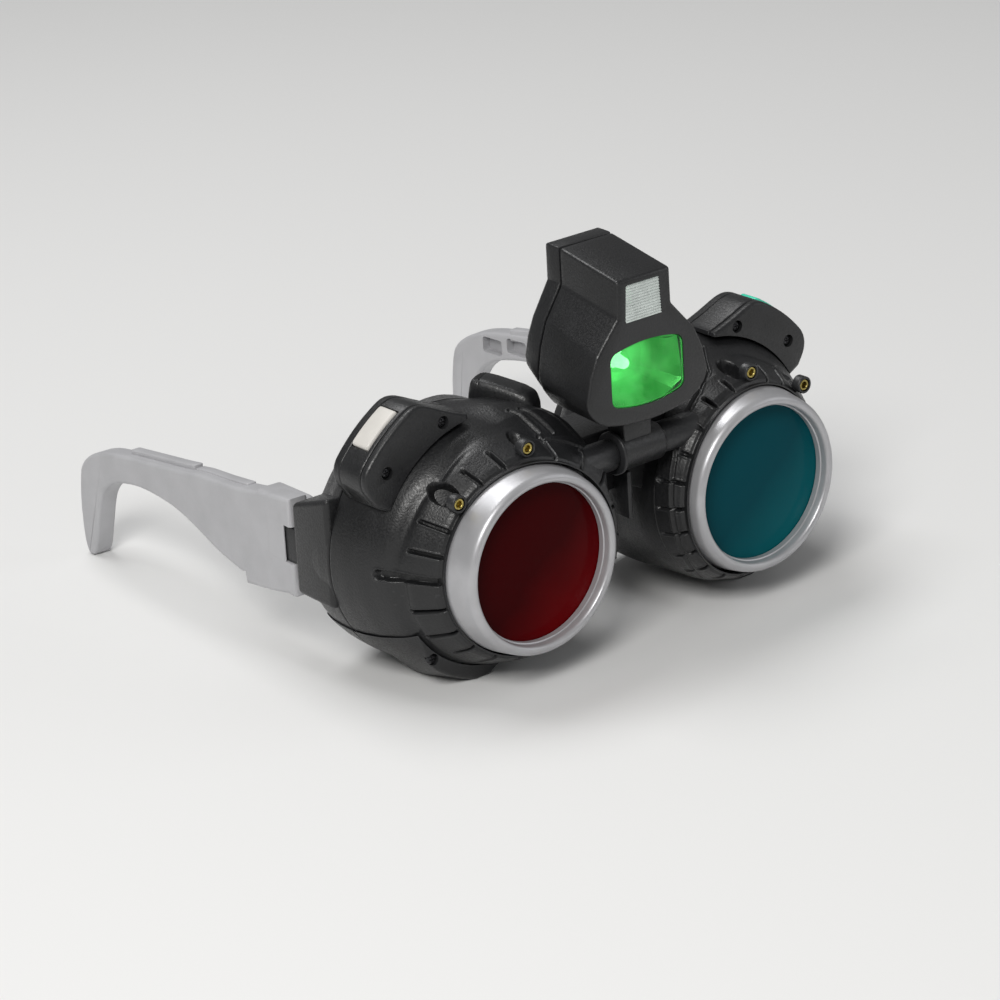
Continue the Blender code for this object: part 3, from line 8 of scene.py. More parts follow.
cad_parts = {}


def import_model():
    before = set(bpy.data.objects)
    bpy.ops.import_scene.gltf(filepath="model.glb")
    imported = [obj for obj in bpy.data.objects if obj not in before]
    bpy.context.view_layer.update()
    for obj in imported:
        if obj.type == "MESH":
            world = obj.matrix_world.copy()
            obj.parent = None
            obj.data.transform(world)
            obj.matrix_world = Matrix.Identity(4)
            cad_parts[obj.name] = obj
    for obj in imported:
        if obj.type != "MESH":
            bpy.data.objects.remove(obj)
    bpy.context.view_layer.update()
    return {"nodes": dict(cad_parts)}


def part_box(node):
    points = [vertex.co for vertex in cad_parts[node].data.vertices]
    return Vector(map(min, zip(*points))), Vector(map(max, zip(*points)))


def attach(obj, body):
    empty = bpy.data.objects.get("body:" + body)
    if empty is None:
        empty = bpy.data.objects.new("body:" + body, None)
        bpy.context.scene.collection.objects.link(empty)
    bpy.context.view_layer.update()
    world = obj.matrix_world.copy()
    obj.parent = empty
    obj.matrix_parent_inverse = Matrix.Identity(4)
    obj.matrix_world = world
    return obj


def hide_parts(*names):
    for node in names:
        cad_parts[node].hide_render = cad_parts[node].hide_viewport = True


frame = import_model()
print("frame:", len(frame["nodes"]), "nodes")

# Pieces are drawn in millimetres from a point between the two lenses: X across, Y back, Z up.
# Angles round a pod start at the temple side and rise over the top to the nose side.
mm = 0.001
bezelLow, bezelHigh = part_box("right_bezel")
bezelCrown = 1.9 * mm  # how far the bezels stand in front of that point
lensOrigin = np.array([0.0, bezelLow.y + bezelCrown, (bezelLow.z + bezelHigh.z) / 2])
halfSpacing = abs(bezelLow.x + bezelHigh.x) / 2 / mm
sides = {"right": -1, "left": 1}
finishes = {}


# Finishes

surfaces = {
    # colour, roughness, metal, speck size in mm, bump in mm, colour change, roughness change, colour scale
    # of the painted highlight on edges
    "body_black": ((0.0105, 0.0108, 0.0116), 0.38, 0.0, 0.60, 0.085, 0.25, 0.10, 1.9),
    "cover_black": ((0.0125, 0.0128, 0.0138), 0.40, 0.0, 0.55, 0.080, 0.25, 0.10, 2.0),
    "bezel_silver": ((0.45, 0.45, 0.465), 0.38, 0.50, 0.30, 0.006, 0.05, 0.06, 1.1),
    "inner_black": ((0.012, 0.012, 0.013), 0.65, 0.0, 0.60, 0.02, 0.2, 0.08, 1.0),
    "soft_black": ((0.014, 0.014, 0.015), 0.78, 0.0, 0.45, 0.03, 0.2, 0.06, 1.2),
    "arm_grey": ((0.42, 0.42, 0.435), 0.40, 0.0, 0.45, 0.010, 0.05, 0.07, 1.06),
    "button_white": ((0.62, 0.60, 0.565), 0.42, 0.0, 0.50, 0.012, 0.05, 0.07, 1.05),
    "button_teal": ((0.04, 0.60, 0.40), 0.30, 0.0, 0.50, 0.008, 0.08, 0.06, 1.1),
    "eyelet_brass": ((0.42, 0.34, 0.11), 0.34, 1.0, 0.30, 0.006, 0.25, 0.10, 1.3),
    "steel": ((0.50, 0.50, 0.52), 0.30, 1.0, 0.25, 0.004, 0.12, 0.08, 1.1),
    "screw_dark": ((0.030, 0.030, 0.033), 0.30, 0.6, 0.25, 0.006, 0.2, 0.08, 2.0),
    "reflector_chrome": ((0.55, 0.95, 0.60), 0.12, 1.0, 0.40, 0.003, 0.05, 0.04, 1.0),
    "board_green": ((0.02, 0.16, 0.06), 0.45, 0.0, 1.20, 0.02, 0.3, 0.10, 1.3),
    "switch_black": ((0.025, 0.025, 0.027), 0.50, 0.0, 0.40, 0.01, 0.2, 0.08, 1.4),
}
moulding = {"broadSpecks": 24, "broadDetail": 4.0, "edgeHighlight": (0.53, 0.60)}  # pointiness at which the painted edge highlight starts and is full


def addNode(tree, kind, **values):
    node = tree.nodes.new(kind)
    for name, value in values.items():
        if hasattr(node, name):
            setattr(node, name, value)
        else:
            node.inputs[name].default_value = value
    return node


def feed(tree, sockets, values):
    # Each socket gets a number or vector, or a link from a node's output
    for socket, value in zip(sockets, values):
        if isinstance(value, bpy.types.NodeSocket):
            tree.links.new(value, socket)
        else:
            socket.default_value = value


def compute(tree, operation, *values, kind="ShaderNodeMath"):
    node = addNode(tree, kind, operation=operation)
    feed(tree, node.inputs, values)
    return node


def startFinish(name, colour, roughness, metal=0.0, gloss=0.5):
    finish = bpy.data.materials.new("goggles_" + name)
    finish.use_nodes = True
    tree = finish.node_tree
    shader = tree.nodes["Principled BSDF"]
    shader.inputs["Base Color"].default_value = (*colour, 1)
    shader.inputs["Roughness"].default_value = roughness
    shader.inputs["Metallic"].default_value = metal
    shader.inputs["Specular IOR Level"].default_value = gloss
    finishes[name] = finish
    return tree, shader, addNode(tree, "ShaderNodeTexCoord")


def paint(tree, shader, **sources):
    # Links outputs to the shader's sockets, named here in one word each
    names = {"colour": "Base Color", "rough": "Roughness",
             "glow": "Emission Color", "light": "Emission Strength"}
    for name, source in sources.items():
        tree.links.new(source, shader.inputs[names[name]])


def blendColours(tree, share, low, high):
    mix = addNode(tree, "ShaderNodeMix", data_type="RGBA")
    tree.links.new(share, mix.inputs["Factor"])
    colours = [(*value, 1) if isinstance(value, tuple) else value for value in (low, high)]
    feed(tree, mix.inputs[6:8], colours)
    return mix.outputs[2]


def scaled(colour, share):
    return tuple(min(channel * share, 1.0) for channel in colour)


def speckle(tree, coords, size, detail=3.0):
    noise = addNode(tree, "ShaderNodeTexNoise", Scale=1000 / size, Detail=detail)
    tree.links.new(coords.outputs["Object"], noise.inputs["Vector"])
    return noise.outputs["Fac"]


def spread(tree, share, low, high, start=0.35, end=0.65):
    ramp = addNode(tree, "ShaderNodeMapRange")
    feed(tree, ramp.inputs, (share, start, end, low, high))
    return ramp.outputs["Result"]


def raiseBump(tree, shader, height, depth):
    bump = addNode(tree, "ShaderNodeBump", Strength=1.0, Distance=depth * mm)
    tree.links.new(height, bump.inputs["Height"])
    tree.links.new(bump.outputs["Normal"], shader.inputs["Normal"])


def mouldedFinish(name, colour, roughness, metal, size, bump, change, roughChange, edgeHighlight):
    tree, shader, coords = startFinish(name, colour, roughness, metal)
    fine = speckle(tree, coords, size)
    broad = speckle(tree, coords, size * moulding["broadSpecks"], moulding["broadDetail"])
    mottled = blendColours(tree, spread(tree, broad, 0, 1), scaled(colour, 1 - change),
                           scaled(colour, 1 + change))
    # Painted highlight: sharp edges, found by their pointiness, are painted in a lighter colour
    edges = addNode(tree, "ShaderNodeNewGeometry")
    highlighted = spread(tree, edges.outputs["Pointiness"], 0, 1, *moulding["edgeHighlight"])
    paint(tree, shader, colour=blendColours(tree, highlighted, mottled, scaled(colour, edgeHighlight)),
          rough=spread(tree, fine, roughness - roughChange, roughness + roughChange))
    raiseBump(tree, shader, fine, bump)


lensTintsAndGlow = {
    # inner colour, colour at the lower +X edge where a glow of light is painted, side of the pod
    "lens_red": ((0.034, 0.0004, 0.0009), (0.14, 0.0015, 0.003), -1),
    "lens_teal": ((0.0022, 0.052, 0.068), (0.0035, 0.120, 0.140), 1),
}
lensShade = {"across": 26.0, "down": 30.0, "cloud": 0.35, "cloudSize": 16.0, "range": (0.25, 1.25),
             "roughness": 0.09, "gloss": 0.035, "speck": 2.5, "roughRange": (0.05, 0.11), "bump": 0.002}


def lensFinish(name, inner, edge, side):
    form = lensShade
    tree, shader, coords = startFinish(name, inner, form["roughness"], 0.0, form["gloss"])
    # Painted light: the tint grows lighter towards the lower +X edge of the lens, with random clouds in it
    split = addNode(tree, "ShaderNodeSeparateXYZ")
    tree.links.new(coords.outputs["Object"], split.inputs["Vector"])
    centre = side * halfSpacing * mm
    across = compute(tree, "MULTIPLY_ADD", split.outputs["X"], form["across"], -form["across"] * centre)
    down = compute(tree, "MULTIPLY_ADD", split.outputs["Z"], -form["down"], form["down"] * lensOrigin[2])
    total = compute(tree, "ADD", across.outputs[0], down.outputs[0])
    cloud = speckle(tree, coords, form["cloudSize"], 2.0)
    drift = compute(tree, "MULTIPLY_ADD", cloud, form["cloud"], total.outputs[0])
    share = spread(tree, drift.outputs[0], 0, 1, *form["range"])
    fine = speckle(tree, coords, form["speck"])
    paint(tree, shader, colour=blendColours(tree, share, inner, edge),
          rough=spread(tree, fine, *form["roughRange"]))
    raiseBump(tree, shader, fine, form["bump"])


windowPanes = {
    # colour, glow, strength of the glow, roughness, clearness, speck size in mm
    "clear_window": ((0.62, 0.66, 0.64), (0.50, 0.56, 0.53), 0.10, 0.20, 0.20, 3.0),
    "green_window": ((0.70, 1.0, 0.74), (0.05, 0.9, 0.12), 0.02, 0.03, 0.98, 3.0),
    "led_clear": ((0.80, 0.95, 0.84), (0.35, 1.0, 0.45), 1.2, 0.10, 0.30, 1.0),
}


def windowFinish(name, colour, glow, strength, roughness, clear, size):
    tree, shader, coords = startFinish(name, colour, roughness)
    fine = speckle(tree, coords, size)
    tinted = blendColours(tree, spread(tree, fine, 0, 1), scaled(colour, 0.85), colour)
    paint(tree, shader, colour=tinted, rough=spread(tree, fine, roughness * 0.7, roughness * 1.3))
    raiseBump(tree, shader, fine, 0.01)
    for socket, value in (("Transmission Weight", clear), ("IOR", 1.12), ("Emission Color", (*glow, 1)),
                          ("Emission Strength", strength)):
        shader.inputs[socket].default_value = value


for build, table in ((mouldedFinish, surfaces), (lensFinish, lensTintsAndGlow), (windowFinish, windowPanes)):
    for slotName, values in table.items():
        build(slotName, *values)
print("finishes:", len(finishes))


# Making pieces

mouldedEdge = {"segments": 3, "angle": 34}
welded = 0.002 * mm


def world(points):
    return np.asarray(points, float) * mm + lensOrigin


def wrapAngle(angle):
    return (angle + 180) % 360 - 180


def smoothStep(value, low, high):
    share = np.clip((value - low) / (high - low), 0, 1)
    return share * share * (3 - 2 * share)


def band(value, rise, fall):
    # 1 between the rise and the fall and 0 beyond them
    return smoothStep(value, *rise) * (1 - smoothStep(value, *fall))


def averaged(curve, place, reach):
    # The mean of a curve at five places close together, which softens its corners
    return sum(curve(place + reach * k) for k in (-1, -0.5, 0, 0.5, 1)) / 5


def quarterTurn(radius, steps):
    # Rows of a rounded edge: distance from the face, and how far the outline is drawn in
    return [(radius * (1 - math.cos(t)), radius * (1 - math.sin(t)))
            for t in np.linspace(0, math.pi / 2, steps)]


def solid(name, points, faces):
    mesh = bpy.data.meshes.new(name)
    mesh.from_pydata(world(points).tolist(), [], faces)
    form = bmesh.new()
    form.from_mesh(mesh)
    bmesh.ops.remove_doubles(form, verts=form.verts, dist=welded)
    bmesh.ops.recalc_face_normals(form, faces=form.faces)
    form.to_mesh(mesh)
    form.free()
    thing = bpy.data.objects.new(name, mesh)
    bpy.context.scene.collection.objects.link(thing)
    return thing


def loft(name, rings, closed=False):
    # Rings of equal length; a closed loft joins its last ring to the first, another is capped
    rings = np.asarray(rings, float)
    rows, count = rings.shape[:2]
    faces = []
    for i in range(rows if closed else rows - 1):
        low, high = i * count, (i + 1) % rows * count
        for j in range(count):
            k = (j + 1) % count
            faces.append((low + j, low + k, high + k, high + j))
    if not closed:
        faces.append(tuple(range(count)))
        faces.append(tuple(range((rows - 1) * count, rows * count))[::-1])
    return solid(name, rings.reshape(-1, 3), faces)


def settle(thing):
    # Turns the modifiers into mesh
    graph = bpy.context.evaluated_depsgraph_get()
    shaped = bpy.data.meshes.new_from_object(thing.evaluated_get(graph))
    plain = thing.data
    thing.modifiers.clear()
    thing.data = shaped
    bpy.data.meshes.remove(plain)
    return thing


def carve(thing, *cutters):
    for cutter in cutters:
        modifier = thing.modifiers.new("carve", "BOOLEAN")
        modifier.operation = "DIFFERENCE"
        modifier.solver = "MANIFOLD"
        modifier.object = cutter
    settle(thing)
    for cutter in cutters:
        bpy.data.objects.remove(cutter)


def roundEdges(thing, width, segments=mouldedEdge["segments"], angle=mouldedEdge["angle"]):
    modifier = thing.modifiers.new("rounding", "BEVEL")
    modifier.width = width * mm
    modifier.segments = segments
    modifier.limit_method = "ANGLE"
    modifier.angle_limit = math.radians(angle)
    modifier.harden_normals = False
    return settle(thing)


def finishPiece(thing, finish="body_black", body="pods", replaced=(), slotName=None, sharp=50):
    thing.data.materials.clear()
    thing.data.materials.append(finishes[finish])
    thing.data.shade_smooth()
    thing.data.set_sharp_from_angle(angle=math.radians(sharp))
    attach(thing, body)
    slotName or finish
    if replaced:
        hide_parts(*replaced)


def slab(name, outline, low, high, way="y"):
    # A flat outline drawn out along one axis, named by the letter
    order = {"y": lambda a, b, c: (a, c, b), "x": lambda a, b, c: (c, a, b), "z": lambda a, b, c: (a, b, c)}
    rings = [[order[way](a, b, level) for a, b in outline] for level in (low, high)]
    return loft(name, rings)


def turned(name, profile, centre, steps=96, way="y"):
    # Rows of radius and distance along the axis; a profile off the axis closes on itself
    turns = np.linspace(0, 2 * math.pi, steps, endpoint=False)
    first, axis, second = {"y": (0, 1, 2), "x": (1, 0, 2), "z": (0, 2, 1)}[way]
    rings = []
    for radius, along in profile:
        ring = np.zeros((steps, 3))
        ring[:, first] = radius * np.cos(turns)
        ring[:, second] = radius * np.sin(turns)
        ring[:, axis] = along
        rings.append(ring + np.asarray(centre, float))
    return loft(name, rings, closed=profile[0][0] > 0)


def rod(name, radius, start, end, centre, steps, way="y"):
    return turned(name, [(0.0, start), (radius, start), (radius, end), (0.0, end)], centre, steps, way)


def rectangle(left, right, bottom, top):
    return [(left, bottom), (right, bottom), (right, top), (left, top)]


def block(name, low, high):
    return slab(name, rectangle(low[0], high[0], low[1], high[1]), low[2], high[2], "z")


def rounded(profile, radius, steps=4):
    # Corners of a closed profile replaced by short curves
    points = np.asarray(profile, float)
    result = []
    for i, corner in enumerate(points):
        before, after = points[i - 1] - corner, points[(i + 1) % len(points)] - corner
        sizes = np.linalg.norm(before), np.linalg.norm(after)
        reach = min(radius, sizes[0] * 0.45, sizes[1] * 0.45)
        start, end = corner + before / sizes[0] * reach, corner + after / sizes[1] * reach
        for share in np.arange(steps + 1) / steps:
            curve = (1 - share) ** 2 * start + 2 * share * (1 - share) * corner + share**2 * end
            result.append(tuple(curve))
    return result


def smoothPath(points, steps=6):
    # A curve through all the points of an open path
    points = [np.asarray(point, float) for point in points]
    ends = [2 * points[0] - points[1]] + points + [2 * points[-1] - points[-2]]
    curve = []
    for a, b, c, d in zip(ends, ends[1:], ends[2:], ends[3:]):
        for t in np.arange(steps) / steps:
            curve.append(0.5 * (2 * b + (c - a) * t + (2 * a - 5 * b + 4 * c - d) * t * t
                                + (3 * b - a - 3 * c + d) * t**3))
    curve.append(points[-1])
    return [tuple(point) for point in curve]


def insetOutline(outline, distance):
    moved = []
    for i, corner in enumerate(outline):
        before = Vector(corner) - Vector(outline[i - 1])
        after = Vector(outline[(i + 1) % len(outline)]) - Vector(corner)
        leftBefore = Vector((-before.y, before.x)).normalized()
        leftAfter = Vector((-after.y, after.x)).normalized()
        middle = (leftBefore + leftAfter).normalized()
        moved.append(tuple(Vector(corner) + middle * distance / middle.dot(leftBefore)))
    return moved


# Skin of a pod

skin = {
    "rim": 28.2, "temple": 42.0, "nose": 33.0,
    "rimDepth": 5.0, "stepDepth": 18.0, "seamDepth": 40.0,
    "lean": 0.11, "wall": 2.2, "bore": 27.5, "soften": 1.3, "softenDepths": (7, 11),
    "along": (0, 0.057, 0.27, 0.3714, 0.43, 0.515, 0.685, 0.857, 1),
    "templeShare": (0, 0.10, 0.35, 0.435, 0.565, 0.68, 0.855, 0.957, 1),
    "noseShare": (0, 0.29, 0.85, 1, 1, 1, 1, 1, 1),
}


def skinReach(way, depth):
    # Radius on the temple or nose side
    low, high = skin["softenDepths"]
    soften = skin["soften"] * np.clip((depth - low) / (high - low), 0, 1)

    def shareAt(place):
        along = np.clip((place - skin["rimDepth"]) / (skin["seamDepth"] - skin["rimDepth"]), 0, 1)
        return np.interp(along, skin["along"], skin[way + "Share"])

    return skin["rim"] + averaged(shareAt, depth, soften) * (skin[way] - skin["rim"])


def skinRadius(depth, angle):
    temple, nose = skinReach("temple", depth), skinReach("nose", depth)
    turn = np.radians(angle)
    share = (1 + np.cos(turn)) / 2
    share = np.where(np.sin(turn) >= 0, share, share * share)
    return nose + share * (temple - nose)


def leanedDepth(depth, angle):
    fade = np.clip(1 - (depth - skin["rimDepth"]) / (skin["stepDepth"] - skin["rimDepth"]), 0, 1)
    return depth + skin["lean"] * skin["rim"] * np.cos(np.radians(angle)) * fade


def polar(side, radius, angle, depth):
    turn = np.radians(angle)
    parts = (side * (halfSpacing + radius * np.cos(turn)), depth, radius * np.sin(turn))
    return np.stack(np.broadcast_arrays(*parts), -1)


# Front shells: tread slots, seams, dimples and the hollows behind the eyelets

tread = {
    "columns": 1000, "fine": 0.2, "fineEnd": 26.0, "coarse": 0.6, "front": 4.2,
    "floor": 27.85, "blocks": (5.25, 5.75), "boreGap": 0.25,
    # rear edge: rows of drop and distance from the end; inside: first row before the end, last depth, step
    "rearEdge": ((0.22, 0.07), (0.55, 0.0), (2.2, 0.0)), "inside": (2, 19, 3), "thinnest": 1.2,
    "boreStart": 14.0,
    # slots: angle, rear end
    "slots": ((15.4, 16.5), (30.2, 15.4), (296, 12.0), (312.5, 12.5), (328, 16.0), (344.3, 17.2)),
    "slotWidth": 0.52, "slotDepth": 1.8, "slotEdge": 0.14,
    # long slot: two ends, half width, depth, softness of the edge
    "longSlot": ((2.1, 23.6), (1.2, 4.0), 1.25, 2.2, 0.2), "longRadius": 34.0, "lineRadius": 32.0,
    # bands of angles and depths in which a height comes in and goes out again
    "noseStep": (1.3, (98, 112), (240, 256), (12.3, 12.9), (28, 39)),
    "noseRim": ((128, 146), (212, 236), (5.0, 6.0), (10, 24)),
    "right": {
        "slots": ((61.5, 12.4), (78, 12.1), (112, 14.1), (131, 9.4), (148, 8.4), (165, 8.5), (181, 7.8),
                  (197, 7.4), (213, 7.0), (229, 8.0), (245, 9.0), (262, 10.0), (279, 11.0)),
        # hollows: angle, depth, length, width, drop
        "hollows": ((46.5, 12.2, 5.8, 3.3, 5.5), (98.0, 12.0, 4.6, 3.0, 4.5)),
        "topGrooves": (((105.0, 22.5), (113.0, 15.0)), ((110.0, 22.0), (120.0, 14.2))),
        # ridge: depth, angle of its top, rise
        "ridge": ((7, 148, 2.4), (11.5, 142, 3.6), (13.2, 139.5, 4.9), (17.8, 132, 6.7), (20.2, 127.5, 6.9),
                  (26, 123, 6.2), (33, 119, 3.6), (39, 116, 0.0)),
        "rimRise": 1.2, "seamStart": 1, "upperEyelet": 94.0,
    },
    "left": {
        "slots": ((58, 12.4), (72, 12.1), (101, 9.9), (117, 9.6), (133, 9.4), (149.5, 7.9), (165.8, 8.5),
                  (181, 7.8), (196, 7.4), (211, 6.9), (227, 8.0), (244, 9.0), (260, 10.0), (277, 11.0)),
        "hollows": ((46.5, 12.2, 5.8, 3.3, 5.5), (91.0, 12.0, 4.6, 3.0, 4.5)),
        "topGrooves": (), "ridge": ((0, 0, 0.0),), "rimRise": 0.0, "seamStart": 0, "upperEyelet": 86.0,
    },
    "ridgeSlope": ((-36, -6), (0.3, 10)), "ridgeStep": (5.2, 8), "ridgeLine": (0.09, 0.8),
    "seamLine": ((90.6, 23.6), (101.7, 14.6), (115.3, 11.6), (131, 10.3), (143.6, 9.3), (153.8, 8.4),
                 (166, 8.0), (181, 7.7), (200, 7.6), (216, 8.2), (230, 9.6), (244, 12.0), (255, 15.5)),
    # cross cuts: angle, front end, rear end
    "crossCuts": ((166.5, 7.6, 11.6), (181.5, 7.4, 11.0), (197, 7.2, 11.1), (213, 7.8, 10.4),
                  (229, 9.4, 11.8)),
    # half width, depth
    "lines": (0.32, 0.7), "grooves": (0.32, 0.75), "lineEdge": 0.18, "hollowEase": 0.28,
    "dimples": ((149.5, 12.3), (166.6, 10.8)), "dimpleRadius": 0.85, "dimpleDepth": 0.75, "dimpleEdge": 0.3,
    # raised bead round every cut: height, width, distance from a slot and from a line
    "bead": (0.16, 0.22, 0.4, 0.42),
    "valley": ((0, 7.5, 24, 39, 52, 66, 80), (20.5, 19.9, 18.4, 17.7, 16.0, 17.0, 18.0)),
    "valleyDrop": 0.75, "valleyWidth": 1.7, "valleyEnds": ((-60, -10), (60, 85)),
}
crest = {
    "inner": 37.5, "rises": {-1: 13.0, 1: 11.3}, "plate": 23.0, "housing": 25.5, "end": 38.2,
    # seat in the shell: distance along and round from its edges, distance under its top, gap below
    "start": 30.0, "tip": 84.0, "seat": (0.9, 1.5, 0.8, 0.3),
    "angles": (29, 31, 34, 38, 43, 48, 53, 58, 63, 66.5, 70, 73, 77, 81, 84),
    "shares": (0.23, 0.58, 0.87, 1, 1, 1, 1, 1, 1, 0.90, 0.68, 0.50, 0.31, 0.17, 0.09),
}


def crestTop(side, angle):
    return crest["inner"] + crest["rises"][side] * np.interp(angle, crest["angles"], crest["shares"])


def groove(distance, depth, edge):
    return depth * (1 - smoothStep(distance, -edge, edge))


def hill(distance, width):
    return np.exp(-((distance / width) ** 2))


def lineDistance(angle, depth, start, end, radius=tread["lineRadius"]):
    # Distance on the skin from a straight line between two spots, each an angle and a depth
    scale = math.radians(radius)
    ax, ay = wrapAngle(angle - start[0]) * scale, depth - start[1]
    bx, by = (end[0] - start[0]) * scale, end[1] - start[1]
    share = np.clip((ax * bx + ay * by) / (bx * bx + by * by), 0, 1)
    return np.hypot(ax - bx * share, ay - by * share)


def bodyRadius(marks, depth, angle, lower):
    # The skin with its valley, its raised shoulder and the step on the nose side
    radius = skinRadius(depth, angle)
    valley = np.interp(angle, *tread["valley"])
    drop = tread["valleyDrop"] * band(lower, *tread["valleyEnds"])
    radius = radius - drop * hill(depth - valley, tread["valleyWidth"])
    rows = np.array(marks["ridge"], float)
    top = np.interp(depth, rows[:, 0], rows[:, 1])
    lift = np.interp(depth, rows[:, 0], rows[:, 2]) * smoothStep(depth, *tread["ridgeStep"])
    height, width = tread["ridgeLine"]
    radius = radius + lift * (band(angle - top, *tread["ridgeSlope"]) + height * hill(angle - top, width))
    rise, fall, front, rear = tread["noseRim"]
    radius = radius + marks["rimRise"] * band(angle, rise, fall) * band(depth, front, rear)
    drop, rise, fall, front, rear = tread["noseStep"]
    return radius - drop * band(angle, rise, fall) * band(depth, front, rear)


def treadCuts(marks, depth, angle, lower, radius):
    # For each slot and line: distance from its edge, depth, softness of the edge, place of its bead
    half = tread["slotWidth"]
    slotBead, lineBead = tread["bead"][2:]
    for slotAngle, rear in tread["slots"] + marks["slots"]:
        across = np.abs(wrapAngle(angle - slotAngle)) * np.radians(radius)
        past = np.maximum(depth - (rear - half), 0)
        yield np.hypot(across, past) - half, tread["slotDepth"], tread["slotEdge"], slotBead
    start, end, half, drop, edge = tread["longSlot"]
    yield lineDistance(lower, depth, start, end, tread["longRadius"]) - half, drop, edge, lineBead
    seam = tread["seamLine"][marks["seamStart"]:]
    lines = [(*ends, *tread["lines"]) for ends in zip(seam, seam[1:])]
    lines += [((a, low), (a, high), *tread["lines"]) for a, low, high in tread["crossCuts"]]
    lines += [(*ends, *tread["grooves"]) for ends in marks["topGrooves"]]
    for start, end, half, drop in lines:
        yield lineDistance(angle, depth, start, end) - half, drop, tread["lineEdge"], lineBead


def treadRadius(prefix, depth, angle):
    depth, angle = np.broadcast_arrays(depth, angle)
    marks = tread[prefix]
    lower = np.where(angle > 180, angle - 360, angle)
    radius = bodyRadius(marks, depth, angle, lower)
    dip, bead = np.zeros_like(radius), np.zeros_like(radius)
    beadHeight, beadWidth = tread["bead"][:2]
    for distance, drop, edge, beadPlace in treadCuts(marks, depth, angle, lower, radius):
        dip = np.maximum(dip, groove(distance, drop, edge))
        bead = np.maximum(bead, hill(distance - beadPlace, beadWidth))
    radius = radius + beadHeight * bead
    for a, d in tread["dimples"]:
        distance = lineDistance(angle, depth, (a, d), (a, d + 0.01)) - tread["dimpleRadius"]
        dip = np.maximum(dip, groove(distance, tread["dimpleDepth"], tread["dimpleEdge"]))
    for a, d, length, width, drop in marks["hollows"]:
        across = wrapAngle(angle - a) * np.radians(tread["lineRadius"]) / width
        share = np.clip(1 - across**2 - ((depth - d) / length) ** 2, 0, 1)
        dip = np.maximum(dip, drop * smoothStep(share, 0, tread["hollowEase"]))
    radius = radius - dip
    radius = radius + (tread["floor"] - radius) * (1 - smoothStep(depth, *tread["blocks"]))
    radius = np.maximum(radius, skin["bore"] + tread["boreGap"])
    along, around, below, gap = crest["seat"]
    inCrest = (depth > crest["plate"] + along) & (depth < crest["end"] - along)
    inCrest &= (lower > crest["start"] + around) & (lower < crest["tip"])
    inCrest &= radius < crestTop(sides[prefix], angle) - below
    return np.where(inCrest, np.minimum(radius, crest["inner"] - gap), radius)


def frontShell(prefix, side):
    angles = np.arange(tread["columns"]) * 360.0 / tread["columns"]
    grid, end = angles[None, :], skin["seamDepth"]
    fine = np.arange(tread["front"], tread["fineEnd"], tread["fine"])
    coarse = np.arange(tread["fineEnd"], end - 0.5, tread["coarse"])
    depths = np.concatenate([fine, coarse, [end - 0.3]])[:, None]
    rings = list(polar(side, treadRadius(prefix, depths, grid), grid, leanedDepth(depths, grid)))
    seam = treadRadius(prefix, np.array([[end - 0.1]]), grid)
    for drop, back in tread["rearEdge"]:
        rings += list(polar(side, seam - drop, grid, np.full_like(seam, end - back)))
    first, last, step = tread["inside"]
    inner = np.arange(end - first, last, -step)[:, None]
    plain = skinRadius(inner, grid) - skin["wall"]
    under = np.minimum(plain, treadRadius(prefix, inner, grid) - tread["thinnest"])
    rings += list(polar(side, under, grid, leanedDepth(inner, grid)))
    for depth in (tread["boreStart"], tread["front"]):
        depth = np.full_like(seam, depth)
        rings += list(polar(side, skin["bore"] + 0 * depth, grid, leanedDepth(depth, grid)))
    shell = loft(prefix + "_tread_shell", rings, closed=True)
    finishPiece(shell, replaced=[prefix + "_front_shell"], sharp=70)


eyeletForm = {
    "place": 31.3, "outer": 45.0, "steps": 40,
    "boss": ((1.2, 8.4), (1.2, 8.1), (1.85, 8.05), (1.85, 5.7), (1.97, 5.6), (2.3, 5.6), (2.5, 5.8),
             (2.5, 8.4)),
    "ring": ((0.0, 7.4), (0.92, 7.35), (0.92, 6.2), (1.02, 5.92), (1.22, 5.8), (1.45, 5.84), (1.63, 6.0),
             (1.70, 6.3), (1.70, 8.0), (0.9, 8.0), (0.9, 8.7), (0.0, 8.7)),
}


def eyeletPieces(prefix, side):
    form = eyeletForm
    for label, angle in (("outer", form["outer"]), ("upper", tread[prefix]["upperEyelet"])):
        centre = polar(side, form["place"], angle, 0.0)
        boss = turned(f"{prefix}_{label}_eyelet_boss", form["boss"], centre, form["steps"])
        finishPiece(boss)
        eyelet = turned(f"{prefix}_{label}_brass_ring", form["ring"], centre, form["steps"])
        finishPiece(eyelet, "eyelet_brass", replaced=[f"{prefix}_{label}_eyelet"])


# Rear shells: body, foot, hinge block and tab

rearForm = {
    "start": 40.3, "end": 57.0, "columns": 240, "rows": 26, "eye": 24.9,
    # front edge: rows of drop and distance behind the start
    "edge": ((2.2, 0.0), (0.5, 0.0), (0.15, 0.1)),
    "along": (0, 0.3, 0.55, 0.72, 0.86, 0.95, 1.0), "taper": (0, 0.12, 0.5, 1.1, 2.0, 2.9, 3.9),
    "upperTaper": (0, 1.7, 3.4, 4.1, 4.4, 4.4, 4.3), "upperAngles": ((5, 28), (78, 112)),
    # wall inside: distance in from the skin, share of the upper taper, distance in from the end
    "inside": ((6.2, 4.3, 2.2), (3.4, 4.2, 6.0)), "lip": (4.5, (30.5, 29.8)),
}
footForm = {
    "radius": 43.0, "end": 54.0, "ground": -36.5, "angles": (-30.0, -85.0), "steps": 44, "rounding": 1.1,
    "starts": ((18, 26, 40, 54), (30, 38, 50, 56)), "swell": 22, "under": ((80, 85), 0.8), "lift": 0.45,
    "least": 0.4, "rows": 6, "root": 1.2,
}
